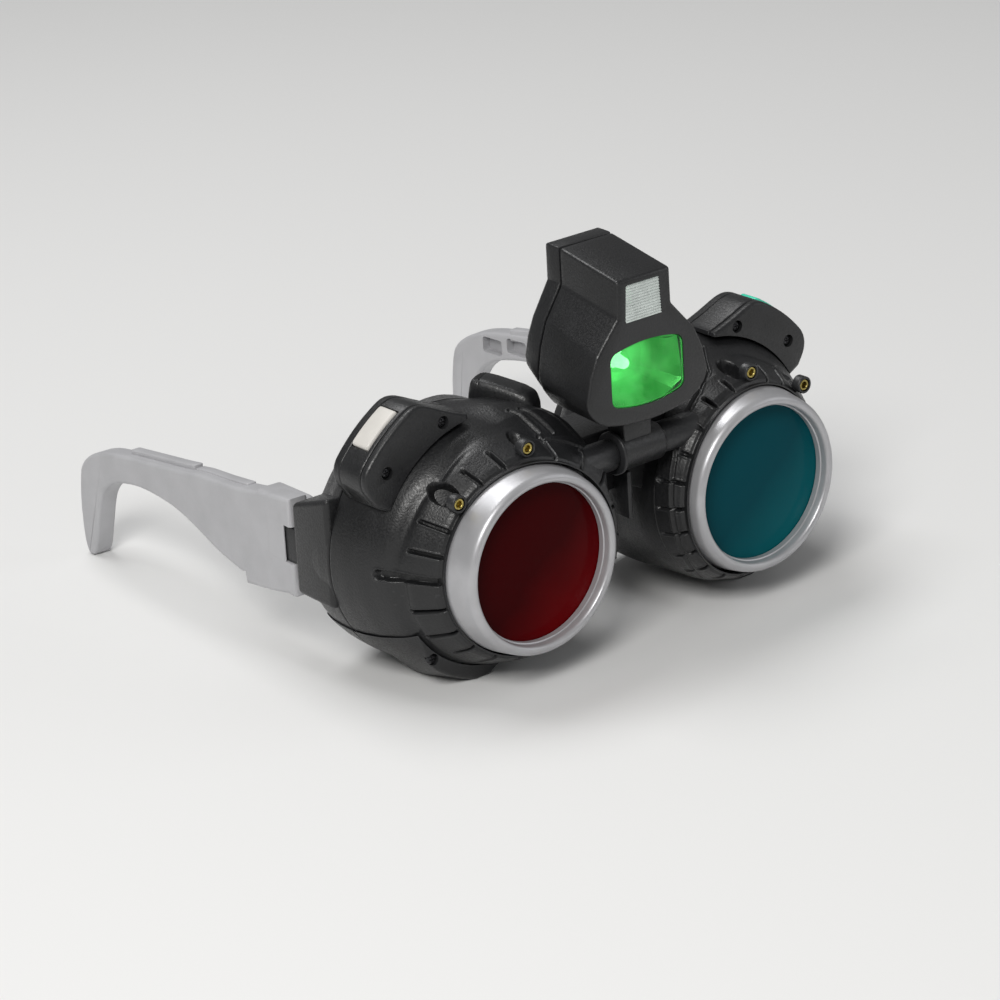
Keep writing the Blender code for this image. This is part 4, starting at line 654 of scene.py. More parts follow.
hinge = {
    "spread": 76.2, "depth": 66.2, "toeIn": math.radians(3.3),
    "block": ((40.4, -13.0), (57.0, -12.5), (57.0, 14.2), (40.4, 19.6)), "span": (66.0, 82.3),
    "rounding": 1.5, "tabTop": 5.7, "tabBottom": -4.7, "knuckle": 4.4, "bore": 1.5,
}


def rearShell(prefix, side):
    form = rearForm
    angles = np.arange(form["columns"]) * 360.0 / form["columns"]
    base = skinRadius(np.array([skin["seamDepth"]]), angles)
    upper = band(angles, *form["upperAngles"])
    start, end = form["start"], form["end"]
    rows = [(base - drop, start + back) for drop, back in form["edge"]]
    for share in np.linspace(0.02, 1.0, form["rows"]):
        taper = np.interp(share, form["along"], form["taper"])
        taper = taper + upper * np.interp(share, form["along"], form["upperTaper"])
        rows.append((base - taper, start + share * (end - start)))
    drop, limits = form["lip"]
    rows += [(np.minimum(base - drop, limit), end) for limit in limits]
    eye = np.full_like(base, form["eye"])
    rows += [(eye, end), (eye, end - form["inside"][0][2])]
    rows += [(base - inward - share * upper, end - back) for inward, share, back in form["inside"]]
    rings = [polar(side, radius, angles, depth) for radius, depth in rows]
    finishPiece(loft(prefix + "_back_shell", rings, closed=True), replaced=[prefix + "_rear_shell"])


def hingeBlock(prefix, side):
    form = hinge
    span = sorted(side * edge for edge in form["span"])
    housing = slab(prefix + "_hinge_block", form["block"], *span, way="x")
    finishPiece(roundEdges(housing, form["rounding"], 5))
    x, y, reach = side * form["spread"], form["depth"], form["knuckle"]
    root = rearForm["end"] - 2
    tongue = [(x + reach * math.cos(t), y + reach * math.sin(t)) for t in np.linspace(math.pi, 0, 25)]
    tongue = [(x - reach, root)] + tongue + [(x + reach, root)]
    tab = slab(prefix + "_hinge_tab", tongue, form["tabBottom"], form["tabTop"], "z")
    carve(tab, rod("bore", form["bore"], form["tabBottom"] - 2, form["tabTop"] + 2, (x, y, 0), 32, "z"))
    finishPiece(roundEdges(tab, 0.35, 2))


def footSolid(name, side, rows, sink):
    # A wedge under a pod: rows of depth and full radius, with rounded front and rear edges
    form = footForm
    depths, reaches = zip(*rows)
    first, last, rounding = depths[0], depths[-1], form["rounding"]
    edge = quarterTurn(rounding, 5)
    places = [(first + back, shrink) for back, shrink in edge]
    places += [(depth, 0.0) for depth in depths if first + rounding < depth < last - rounding]
    places += [(last - back, shrink) for back, shrink in edge[::-1]]
    angles = np.linspace(*form["angles"], form["steps"])
    ground = form["ground"] / np.sin(np.radians(angles))
    rings = []
    for depth, shrink in places:
        base = skinRadius(np.full_like(angles, min(depth, skin["seamDepth"])), angles)
        share = (depth - rearForm["start"]) / (rearForm["end"] - rearForm["start"])
        base = base - np.interp(share, rearForm["along"], rearForm["taper"])
        full = np.minimum(np.interp(depth, depths, reaches), ground)
        start = np.interp(depth, *form["starts"])
        under, fade = form["under"]
        swell = smoothStep(-angles, start, start + form["swell"]) * (1 - fade * smoothStep(-angles, *under))
        outer = base + form["lift"] + (full - base - form["lift"]) * swell
        outer = np.minimum(np.maximum(outer - shrink * swell, base + form["least"]), ground)
        inner = polar(side, base + sink, angles, depth)
        rings.append(np.concatenate([polar(side, outer, angles, depth), inner[::-1]]))
    return loft(name, rings)


def rearFoot(prefix, side):
    depths = np.linspace(rearForm["start"], footForm["end"], footForm["rows"])
    rows = [(depth, footForm["radius"]) for depth in depths]
    finishPiece(footSolid(prefix + "_rear_foot", side, rows, -footForm["root"]))


# Bezels, lenses, lens tubes and eyecups

bezelForm = {
    "profile": ((27.2, 12.5), (27.2, 7.4), (26.92, 5.4), (26.45, 2.4), (26.12, 0.5), (26.0, -0.15),
                (25.85, -0.72), (25.55, -1.22), (25.15, -1.6), (24.7, -1.82), (24.3, -1.9), (23.9, -1.86),
                (23.55, -1.7), (23.28, -1.42), (23.12, -1.0), (23.0, -0.3), (22.92, 0.55), (22.62, 0.75),
                (22.6, 0.95), (22.6, 2.4), (24.9, 2.4), (24.9, 12.5)),
    "steps": 192,
}
lensForm = {"radius": 24.6, "flat": 21.6, "seat": 2.7, "crown": 1.3, "thickness": 2.0,
            "rows": 14, "steps": 144}
tubeForm = {"outer": 24.6, "inner": 23.2, "start": 5.0, "end": 57.0, "ribs": 30, "pitch": 1.5, "rib": 0.25}
eyecupForm = {"profile": ((29.6, 57.3), (23.5, 57.3), (23.5, 60.2), (23.8, 60.9), (24.6, 61.4), (25.9, 61.7),
                          (27.2, 61.6), (28.4, 61.2), (29.2, 60.4), (29.6, 59.4)), "rounding": 0.4}


def lensProfile():
    form = lensForm
    shares = np.linspace(0, 1, form["rows"])
    rows = [(form["flat"] * s, form["seat"] - form["crown"] * (1 - s * s)) for s in shares]
    back = form["seat"] + form["thickness"]
    return rows + [(form["radius"], form["seat"]), (form["radius"], back), (0.0, back)]


def tubeProfile():
    form = tubeForm
    rows = [(form["outer"], form["end"]), (form["outer"], form["start"]), (form["inner"], form["start"])]
    for k in range(form["ribs"]):
        rows.append((form["inner"] - k % 2 * form["rib"], form["start"] + form["pitch"] * (k + 1)))
    return rows + [(form["inner"], form["end"])]


def lensGroup(prefix, side):
    tint = {"right": "lens_red", "left": "lens_teal"}[prefix]
    cup = rounded(eyecupForm["profile"], eyecupForm["rounding"], 3)
    for label, node, profile, steps, finish in (
            ("silver_bezel", "bezel", bezelForm["profile"], bezelForm["steps"], "bezel_silver"),
            ("tinted_lens", "lens", lensProfile(), lensForm["steps"], tint),
            ("baffle_tube", "lens_tube", tubeProfile(), 96, "inner_black"),
            ("soft_eyecup", "eyecup", cup, 96, "soft_black")):
        piece = turned(f"{prefix}_{label}", profile, (side * halfSpacing, 0, 0), steps)
        finishPiece(piece, finish, replaced=[f"{prefix}_{node}"])


# Raised pods: housing, cover plate, screws and push buttons

housingForm = {
    "gap": 0.3, "rounding": 1.7, "groove": 34.6,
    # rows of distance along and how far the outline is drawn in, from the front and from the groove
    "front": ((0.0, 0.5), (0.14, 0.15), (0.5, 0.0)),
    "grooveRows": ((-0.35, 0.0), (-0.2, 0.3), (0.0, 0.38), (0.2, 0.3), (0.35, 0.0)),
}
buttonForm = {
    "angle": 52.0, "length": 13.4, "width": 7.2, "depth": 30.7, "proud": 0.7, "wall": 1.8, "flange": 1.2,
    "play": 0.3, "rounding": 0.9, "shift": 0.7,
    # stem: rows of radius and height over the flange's foot
    "stem": ((1.44, -2.6), (1.8, -2.2), (1.8, 0.5)),
}
# screws: angle, share of the pod's rise
coverForm = {"thickness": 2.2, "rounding": 1.2, "sink": 0.5, "seat": (1.85, 20.0, 1.6),
             "screws": ((71.6, 0.246), (42.0, 0.50)), "rear": ((0.3, 0.0), (0.1, 0.1), (0.0, 0.3))}


def crestOutline(side, shrink=0.0, steps=96):
    start, tip = crest["start"] - 1, crest["tip"]
    inset = math.degrees(shrink / crest["inner"])
    angles = np.linspace(start + inset, tip - inset, steps)
    soft = averaged(lambda angle: crestTop(side, np.clip(angle, start, tip)), angles, 1.6)
    tops = np.maximum(soft - shrink, crest["inner"] + 0.7)
    low = np.linspace(tip - inset, start + inset, steps // 2)
    inner = polar(side, crest["inner"] + 0 * low, low, 0.0)
    return np.concatenate([polar(side, tops, angles, 0.0), inner])[:, [0, 2]]


def crestLoft(name, side, rows):
    rings = [np.insert(crestOutline(side, shrink), 1, depth, axis=1) for depth, shrink in rows]
    return loft(name, rings)


def buttonOutline(side, half, low, top, steps=24):
    turn, shift = math.radians(buttonForm["angle"]), buttonForm["shift"]
    spots = [(shift - half, low), (shift + half, low)]
    spots += [(along, math.sqrt(top * top - along * along))
              for along in np.linspace(shift + half, shift - half, steps)]
    return [(side * (halfSpacing + math.cos(turn) * rise - math.sin(turn) * along),
             math.sin(turn) * rise + math.cos(turn) * along) for along, rise in spots]


def buttonHeights(side):
    # Ceiling of the pocket in a pod, and the face of its button
    top = crest["inner"] + crest["rises"][side]
    return top - buttonForm["wall"], top + buttonForm["proud"]


def raisedPod(prefix, side):
    form, button = housingForm, buttonForm
    front, back = crest["housing"] + 0.05, crest["end"]
    rows = [(front + along, shrink) for along, shrink in form["front"]]
    rows += [(form["groove"] + along, shrink) for along, shrink in form["grooveRows"]]
    rows += [(back - along, shrink) for along, shrink in quarterTurn(form["rounding"], 7)[::-1]]
    housing = crestLoft(prefix + "_switch_housing", side, rows)
    half, gap, wall = button["length"] / 2, form["gap"], button["wall"]
    floor, (ceiling, face) = crest["inner"] + wall, buttonHeights(side)
    pocket = slab("pocket", buttonOutline(side, half + button["flange"] + gap, floor, ceiling),
                  front - 2, back - wall)
    middle, width = button["depth"], button["width"] / 2 + gap
    opening = slab("opening", buttonOutline(side, half + gap, floor + 2, face + 2),
                   middle - width, middle + width)
    carve(housing, pocket, opening)
    finishPiece(housing, replaced=[prefix + "_pod_housing"])


def coverPlate(prefix, side):
    form = coverForm
    start, end = crest["plate"], crest["plate"] + form["thickness"]
    rows = [(start + along, shrink) for along, shrink in quarterTurn(form["rounding"], 6)]
    rows += [(end - along, shrink) for along, shrink in form["rear"]]
    plate = crestLoft(prefix + "_crescent_plate", side, rows)
    radius, front, sunk = form["seat"]
    seats = []
    for number, (angle, share) in enumerate(form["screws"], 1):
        place = polar(side, crest["inner"] + share * crest["rises"][side], angle, 0.0)
        seats.append(rod("seat", radius, front, start + sunk, place, 40))
        screwPiece(f"{prefix}_cover_screw_{number}", place + np.array([0, start + form["sink"], 0]))
    carve(plate, *seats)
    finishPiece(plate, "cover_black", replaced=[prefix + "_cover_plate"])


def pushButton(prefix, side):
    form = buttonForm
    ceiling, face = buttonHeights(side)
    half, width, middle = form["length"] / 2, form["width"] / 2, form["depth"]
    top = ceiling - form["play"]
    low = top - form["flange"]
    cap = slab(prefix + "_button_cap", buttonOutline(side, half, low, face, 8),
               middle - width, middle + width)
    wide = width + form["flange"] / 2
    flange = slab(prefix + "_button_flange", buttonOutline(side, half + form["flange"], low, top),
                  middle - wide, middle + wide)
    turn = math.radians(form["angle"])
    out, along = np.array([side * math.cos(turn), 0, math.sin(turn)]), np.array([0.0, 1.0, 0.0])
    across = np.cross(out, along)
    turns = np.linspace(0, 2 * math.pi, 32, endpoint=False)[:, None]
    circle = np.cos(turns) * across + np.sin(turns) * along
    root = np.array([side * halfSpacing, middle, 0.0])
    stem = loft(prefix + "_button_stem", [root + out * (low + rise) + radius * circle
                                          for radius, rise in form["stem"]])
    finish = {"right": "button_white", "left": "button_teal"}[prefix]
    body = prefix + "_push_button"
    finishPiece(roundEdges(cap, form["rounding"], 4, 50), finish, body, [prefix + "_button"], sharp=60)
    finishPiece(roundEdges(flange, 0.2, 2), finish, body)
    finishPiece(stem, finish, body)


screwForm = {
    "profile": ((0.0, 0.02), (0.6, 0.06), (1.05, 0.2), (1.35, 0.42), (1.5, 0.75), (1.5, 1.0), (0.8, 1.0),
                (0.8, 5.4), (0.25, 6.0), (0.0, 6.0)),
    "crossLength": 1.7, "crossWidth": 0.42, "crossDepth": 0.62,
}


def screwPiece(node, centre):
    form = screwForm
    screw = turned(node + "_head", form["profile"], centre, 48)
    reach, half = form["crossLength"] / 2, form["crossWidth"] / 2
    for across, up in ((reach, half), (half, reach)):
        low, high = np.array([across, 1, up]), np.array([across, form["crossDepth"], up])
        carve(screw, block("cross", centre - low, centre + high))
    finishPiece(screw, "screw_dark", "pods", [node], "steel", 35)


# Battery doors

doorForm = {"radii": (38.0, 43.0), "depths": (18.0, 39.7), "rows": 14,
            "screw": (-45.6, 36.3, 0.4), "seat": (1.85, 10.0, 19.8)}


def batteryDoor(prefix, side):
    form = doorForm
    depths, radii = (np.linspace(*form[ends], form["rows"]) for ends in ("depths", "radii"))
    door = footSolid(prefix + "_battery_cover", side, list(zip(depths, radii)), 0.3)
    angle, radius, sink = form["screw"]
    place = polar(side, radius, angle, 0.0)
    carve(door, rod("seat", *form["seat"], place, 40))
    finishPiece(door, "cover_black", replaced=[prefix + "_battery_door"])
    screwPiece(prefix + "_door_screw", place + np.array([0, form["depths"][0] + sink, 0]))


# Domed covers beside the lamp

browForm = {
    "offset": 15.9, "depth": 32.4, "length": 19.0, "width": 8.8, "root": 25.0, "top": 41.9,
    "turn": math.radians(29), "steps": 140, "narrowing": (0.5, 6), "soften": 0.04,
    # ribs: start and end shares of the length, pitch, height
    "ribs": (0.60, 0.88, 0.07, 0.24),
    "falls": ((-1, -0.96, -0.85, -0.55, -0.1, 0.35, 0.7, 0.86, 0.93, 0.975, 1),
              (6.4, 5.0, 3.8, 2.6, 1.5, 0.5, 0.0, 0.35, 1.1, 2.4, 4.4)),
    "section": ((0.0, 0.0), (0.6, 0.03), (0.78, 0.10), (0.90, 0.25), (0.97, 0.48), (1.0, 0.8), (1.0, 2.2)),
}


def browCover(prefix, side):
    form = browForm
    half, turn = form["width"] / 2, -side * form["turn"]
    middle = side * (halfSpacing - form["offset"])
    first, last, pitch, height = form["ribs"]
    rings = []
    for share in np.linspace(-1, 1, form["steps"]):
        narrow = math.sqrt(1 - form["narrowing"][0] * share ** form["narrowing"][1])
        drop = averaged(lambda place: float(np.interp(place, *form["falls"])), share, form["soften"])
        top = form["top"] - drop
        if first < share < last:
            top -= height * (0.5 - 0.5 * math.cos((share - first) / pitch * 2 * math.pi))
        section = [(half * x * narrow, top - half * drop) for x, drop in form["section"]]
        section.append((half * narrow, form["root"]))
        section += [(-x, z) for x, z in section[:0:-1]]
        along = share * form["length"] / 2
        rings.append([(middle + x * math.cos(turn) - along * math.sin(turn),
                       form["depth"] + x * math.sin(turn) + along * math.cos(turn), z) for x, z in section])
    finishPiece(loft(prefix + "_domed_cover", rings), replaced=[prefix + "_brow_cover"], sharp=60)


# Side arms

armForm = {
    "length": 120.2, "setback": 7.1, "height": 36.5, "outside": 4.8, "inside": -1.7, "rounding": 1.15,
    # outline: shares of the length and height, clockwise from the upper front corner
    "shares": (
        (0.0, 0.395), (0.087, 0.364), (0.22, 0.290), (0.31, 0.257), (0.40, 0.233), (0.495, 0.181),
        (0.637, 0.118), (0.808, 0.041), (0.884, -0.019), (0.938, -0.101), (0.973, -0.195),
        (0.989, -0.318), (1.0, -0.592), (0.997, -0.86), (0.985, -0.975), (0.970, -1.0), (0.945, -0.93),
        (0.908, -0.551), (0.885, -0.397), (0.850, -0.293), (0.797, -0.211), (0.698, -0.153),
        (0.604, -0.151), (0.512, -0.184), (0.425, -0.263), (0.339, -0.356), (0.253, -0.416),
        (0.222, -0.419), (0.217, -0.507), (0.075, -0.438), (0.0, -0.37)),
    "corners": (0, 27, 28, 30), "upperRows": 11,
    # pockets: start and end shares, height
    "pockets": ((0.16, 0.215, 6.9), (0.24, 0.33, 6.9), (0.35, 0.44, 6.9), (0.46, 0.55, 6.9),
                (0.57, 0.66, 6.6), (0.69, 0.765, 5.0), (0.785, 0.86, 5.2)),
    "pocketDepth": 3.0, "pocketRounding": 1.2, "pocketDrop": 1.9,
    # notch round the hinge tab: bottom, top, rear end
    "notch": (-5.0, 6.0, 4.7), "blockEnds": (11.0, 8.0), "blockSides": (-4.4, 4.75),
    "blockShares": (0.37, -0.42), "blockRounding": 1.7, "dimple": (1.15, 1.3),
    # skin beside the notch: start, end, inner side, outer side, margin of the flat middle
    "skin": (-3.5, 5.0, 4.5, 4.78, 0.6),
    # ridges: start and end shares, height over the arm's top
    "ridges": ((0.215, 0.450, 0.55), (0.455, 0.757, 1.45)), "ridgeSpan": (-1.2, 2.0), "ridgeSink": 2.5,
}


def armPoint(side, across, along, up):
    turn = side * hinge["toeIn"]
    x = side * across
    return (side * hinge["spread"] + x * math.cos(turn) - along * math.sin(turn),
            hinge["depth"] + x * math.sin(turn) + along * math.cos(turn), up)


def armLoft(name, side, rows):
    # Rows of a place across the arm and the outline there
    return loft(name, [[armPoint(side, level, along, up) for along, up in outline]
                       for level, outline in rows])


def armSlab(name, side, outline, low, high):
    return armLoft(name, side, ((low, outline), (high, outline)))


def armTop(share):
    rows = np.array(armForm["shares"][:armForm["upperRows"]])
    return float(np.interp(share, rows[:, 0], rows[:, 1])) * armForm["height"]


def armAlong(share):
    return share * armForm["length"] - armForm["setback"]


def armBody(prefix, side):
    form = armForm
    points = [(armAlong(a), up * form["height"]) for a, up in form["shares"]]
    outline = []
    for start, end in zip(form["corners"], form["corners"][1:]):
        outline += smoothPath(points[start:end + 1], 4)[:-1]
    outline.append(points[-1])
    outline = [(min(a, armAlong(1)), max(up, -form["height"])) for a, up in outline]
    inside, outside, edge = form["inside"], form["outside"], form["rounding"]
    rows = [(0.0, edge + 0.3)] + quarterTurn(edge, 6)  # the first row keeps the flat sides evenly lit
    rows = [(inside + a, b) for a, b in rows] + [(outside - a, b) for a, b in rows[::-1]]
    arm = armLoft(prefix + "_ear_arm", side, [(a, insetOutline(outline, -b)) for a, b in rows])
    cuts = []
    for start, end, height in form["pockets"]:
        top = armTop((start + end) / 2) - form["pocketDrop"]
        outline = rounded(rectangle(armAlong(start), armAlong(end), top - height, top),
                          form["pocketRounding"])
        cuts.append(armSlab("pocket", side, outline, inside - 2, inside + form["pocketDepth"]))
    low, high, reach = form["notch"]
    cuts.append(armSlab("notch", side, rectangle(-form["setback"] - 3, reach, low, high), -20, 20))
    carve(arm, *cuts)
    finishPiece(arm, "arm_grey", prefix + "_side_arm", [prefix + "_arm"], sharp=60)


def armDetails(prefix, side):
    # Skin beside the notch, knuckles over and under it, and the ridges on the top
    form, front, body = armForm, -armForm["setback"], prefix + "_side_arm"
    low, high, _ = form["notch"]
    start, end, inside, outside, margin = form["skin"]
    corners = rectangle(start, end, low - 1, high + 1)
    rows = ((inside, corners), (outside, corners), (outside, insetOutline(corners, margin)))
    finishPiece(armLoft(prefix + "_hinge_skin", side, rows), "arm_grey", body)
    top, bottom = (share * form["height"] for share in form["blockShares"])
    radius, deep = form["dimple"]
    for label, lower, upper, rear in zip(("upper", "lower"), (high, bottom), (top, low), form["blockEnds"]):
        ends = [(front, lower), (rear, lower), (rear, upper - 0.6), (front, upper)]
        knuckle = armSlab(f"{prefix}_{label}_knuckle", side, ends, *form["blockSides"])
        roundEdges(knuckle, form["blockRounding"], 5)
        if label == "upper":
            carve(knuckle, rod("dimple", radius, upper - deep, upper + 3, armPoint(side, 0, 0, 0), 32, "z"))
        finishPiece(knuckle, "arm_grey", body)
    for number, (first, last, height) in enumerate(form["ridges"], 1):
        spots = np.linspace(first, last, 12)
        line = [(armAlong(s), armTop(s) + height) for s in spots]
        line += [(armAlong(s), armTop(s) - form["ridgeSink"]) for s in spots[::-1]]
        ridge = armSlab(f"{prefix}_arm_ridge_{number}", side, line, *form["ridgeSpan"])
        finishPiece(roundEdges(ridge, 0.5, 3), "arm_grey", body)


# Lamp over the nose

lampForm = {
    "halfWidth": 21.8, "bottom": 30.3, "height": 42.0, "split": 24.0, "chamfer": 22.0, "rear": 30.8,
    "wall": 1.8, "rake": 0.20, "rakeEnd": 25.2, "chamferShare": 0.95, "rakeFull": 0.52, "rounding": 0.85,
    "narrowing": 0.0046, "narrowEnds": (0.54, 0.74), "rearRounding": 1.5, "gap": 0.3,
    # half the front outline: shares of the half width and height, from the bottom up
    "shares": ((0.0, 0.0), (0.18, 0.003), (0.35, 0.012), (0.52, 0.026), (0.674, 0.043), (0.83, 0.085),
               (0.94, 0.145), (0.99, 0.19), (1.0, 0.243), (0.931, 0.393), (0.812, 0.533), (0.44, 0.75),
               (0.436, 1.0)),
    # windows: half width, bottom, top, arch, width share at the top, shift across, corner radius
    "topWindow": (6.3, 60.2, 70.5, 0.0, 0.91, -0.6, 0.9),
    "mainWindow": (12.8, 37.4, 51.6, 1.9, 1.0, 0.0, 2.0),
}


def lampRing(depth, distance=0.0):
    form = lampForm
    half = [(x * form["halfWidth"], form["bottom"] + z * form["height"]) for x, z in form["shares"]]
    outline = insetOutline(half + [(-x, z) for x, z in half[:0:-1]], distance)
    ring = []
    for x, z in outline:
        raised = (z - form["bottom"]) / form["height"]
        share = min(max(raised / form["rakeFull"], 0.0), 1.0)
        slant = form["chamferShare"] * max(0.0, depth - form["chamfer"])
        lean = share * form["rake"] * min(depth, form["rakeEnd"])
        narrow = 1 - form["narrowing"] * max(depth, 0.0) * (1 - smoothStep(raised, *form["narrowEnds"]))
        ring.append((x * narrow, depth, z + lean + (1 - share) * slant))
    return ring


def windowOutline(shape, grow=0.0, steps=26):
    halfWidth, bottom, top, arch, taper, shift, corner = shape
    halfWidth, bottom, top = halfWidth + grow, bottom - grow, top + grow
    points = []
    for height, way, scale in ((bottom, -1, 1.0), (top, 1, taper)):
        for share in np.linspace(-1, 1, steps):
            x = halfWidth * math.sin(-way * share * math.pi / 2)
            past = min(max(abs(x) - halfWidth + corner, 0.0), corner)
            drop = corner - math.sqrt(corner * corner - past * past)
            points.append((shift + x * scale, height + way * (arch * (1 - (x / halfWidth) ** 2) - drop)))
    return points


def lampShells():
    form = lampForm
    wall, split, rear, edge = form["wall"], form["split"], form["rear"], form["rearRounding"]
    cover = loft("lamp_front_cover", [lampRing(depth) for depth in (0.0, form["chamfer"], split)])
    roundEdges(cover, form["rounding"], 3, 16)
    holes = [loft("hollow", [lampRing(depth, wall) for depth in (wall, form["chamfer"], split + 2)])]
    for shape in (form["topWindow"], form["mainWindow"]):
        holes.append(slab("hole", windowOutline(shape, 0.25), -3, wall + 3))
    carve(cover, *holes)
    finishPiece(cover, body="lamp", replaced=["lamp_front_shell"], sharp=40)
    start = split + form["gap"]
    middle = (start + rear) / 2
    rows = ((start, 0.0), (middle, 0.0), (rear - edge, 0.0), (rear - edge * 0.3, edge * 0.3), (rear, edge))
    cover = roundEdges(loft("lamp_rear_cover", [lampRing(*row) for row in rows]), 0.5, 2, 30)
    carve(cover, loft("hollow", [lampRing(start - 2, wall), lampRing(middle, wall)]))
    finishPiece(cover, body="lamp", replaced=["lamp_rear_shell"], sharp=40)


paneForm = {
    "topFront": -0.25, "topBack": 1.6, "ribs": 13, "ribDepth": 0.34,
    # domed pane: share of the outline, depth
    "rows": ((1.0, 1.2), (1.0, 0.15), (0.985, -0.1), (0.8, -0.25), (0.5, -0.42), (0.2, -0.5)),
}


def lampWindows():
    form = paneForm
    halfWidth, bottom, top, _, taper, shift, _ = lampForm["topWindow"]
    rings = []
    for share in np.linspace(0, 1, form["ribs"] * 6 + 1):
        reach = halfWidth * (1 + (taper - 1) * share)
        rib = form["ribDepth"] * (0.5 - 0.5 * math.cos(share * form["ribs"] * 2 * math.pi))
        outline = rectangle(shift - reach, shift + reach, form["topFront"] + rib, form["topBack"])
        rings.append([(x, y, bottom + share * (top - bottom)) for x, y in outline])
    finishPiece(loft("lamp_ribbed_window", rings), "clear_window", "lamp", ["lamp_top_window"], sharp=60)
    middle = sum(lampForm["mainWindow"][1:3]) / 2
    outline = windowOutline(lampForm["mainWindow"])
    rings = [[(x * scale, depth, middle + (z - middle) * scale) for x, z in outline]
             for scale, depth in form["rows"]]
    finishPiece(loft("lamp_green_window", rings), "green_window", "lamp", ["lamp_main_window"], sharp=60)


reflectorForm = {
    "centre": (-3.6, 46.4), "depth": 9.6, "front": 1.9, "wall": 0.8, "rings": 5, "steps": 6,
    "facet": 1.4, "middle": 0.14, "curves": (0.8, 1.6),
    "colour": (0.10, 0.75, 0.16), "roughness": 0.18, "metal": 0.35,
    # light: the way it comes from, darkest and brightest facet; glow: near and far from the bulb
    "sun": (-0.62, -0.45, 0.64), "light": (0.02, 1.5, 0.10, 0.95), "glowReach": (0.0010, 0.0120),
    "glow": ((0.004, 0.12, 0.010), (0.12, 0.70, 0.18)), "sheen": (0.30, 1.0, 0.36),
    "bulb": ((0.0, 4.6), (0.6, 4.7), (1.1, 5.0), (1.5, 5.6), (1.6, 6.4), (1.6, 9.0), (2.2, 9.4), (2.5, 9.9),
             (2.5, 14.7), (0.0, 14.7)),
}


def reflectorFinish():
    # Green reflector with painted light: facets catch painted light of the lamp in steps, by how they face
    # one fixed direction; colour and glow are painted brighter near the bulb, with painted glints
    form, vectorMath = reflectorForm, "ShaderNodeVectorMath"
    tree, shader, coords = startFinish("reflector_green", form["colour"], form["roughness"], form["metal"])
    x, z = form["centre"]
    centre = tuple(world([(x, 0.0, z)])[0])
    place = compute(tree, "SUBTRACT", coords.outputs["Object"], centre, kind=vectorMath)
    flat = compute(tree, "MULTIPLY", place.outputs[0], (1.0, 0.0, 1.0), kind=vectorMath)
    reach = compute(tree, "LENGTH", flat.outputs[0], kind=vectorMath)
    near = spread(tree, reach.outputs["Value"], 1, 0, *form["glowReach"])
    glow = blendColours(tree, near, *form["glow"])
    normal = addNode(tree, "ShaderNodeNewGeometry").outputs["Normal"]
    facing = compute(tree, "DOT_PRODUCT", normal, form["sun"], kind=vectorMath)
    sheen = blendColours(tree, spread(tree, speckle(tree, coords, 5.0), 0, 0.12), glow, form["sheen"])
    paint(tree, shader, colour=glow, glow=sheen, light=spread(tree, facing.outputs["Value"], *form["light"]))
    raiseBump(tree, shader, speckle(tree, coords, 1.5), 0.02)


def reflectorPieces():
    form = reflectorForm
    cx, cz = form["centre"]
    outline = windowOutline(lampForm["mainWindow"], 0.6, form["steps"])
    wide, deep = form["curves"]
    rings = []
    for k in range(form["rings"] + 1):
        share = k / form["rings"]
        scale = share**wide * (1 - form["middle"]) + form["middle"]
        depth = form["front"] + form["depth"] * (1 - share**deep)
        rings.append([(cx + (x - cx) * scale, depth + form["facet"] * ((k + i) % 2), cz + (z - cz) * scale)
                      for i, (x, z) in enumerate(outline)])
    back = [[(x, y + form["wall"], z) for x, y, z in ring] for ring in rings]
    shell = loft("lamp_green_reflector", rings[::-1] + back, closed=True)
    finishPiece(shell, "reflector_green", "lamp", ["lamp_reflector"], "reflector_chrome", 8)
    led = turned("lamp_bright_led", form["bulb"], (cx, 0, cz), 40)
    finishPiece(led, "led_clear", "lamp", ["lamp_main_led"])


barrelForm = {
    "depth": 9.0, "height": 20.0,
    "profile": ((2.3, -7.0), (5.85, -7.0), (6.2, -6.7), (6.2, -6.05), (5.9, -5.8), (5.6, -5.75),
                (5.5, -5.5), (5.5, 8.4), (5.32, 8.82), (4.9, 9.0), (2.3, 9.0)),
    # knuckles on the pods: bore, radius, start on each side, end
    "bore": 2.3, "boss": 4.5, "starts": {"right": 7.3, "left": 9.3}, "bossEnd": 26.0,
    # neck under the lamp: half width, half depth, bottom, top
    "neck": (5.0, 3.8, 23.2, 30.0),
}


def barrelPieces():
    form = barrelForm
    centre = (0, form["depth"], form["height"])
    barrel = turned("lamp_pivot_barrel", form["profile"], centre, 96, "x")
    finishPiece(barrel, body="lamp", replaced=["lamp_barrel"])
    half, deep, bottom, top = form["neck"]
    neck = block("lamp_neck", (-half, form["depth"] - deep, bottom), (half, form["depth"] + deep, top))
    finishPiece(roundEdges(neck, 0.7), body="lamp")
    bore, radius, end = form["bore"], form["boss"], form["bossEnd"]
    for prefix, side in sides.items():
        start = form["starts"][prefix]
        profile = ((bore, start), (radius - 0.5, start), (radius, start + 0.5), (radius, end), (bore, end))
        profile = [(r, side * along) for r, along in profile]
        finishPiece(turned(prefix + "_bridge_knuckle", profile, centre, 64, "x"))


bridgeForm = {"start": 16.2, "end": 34.0, "top": 24.0, "halfWidth": 20.0, "archTop": 6.0,
              "archFoot": -7.0, "rib": (0.8, 10.0, -1.5, 12.5), "rounding": 1.3}


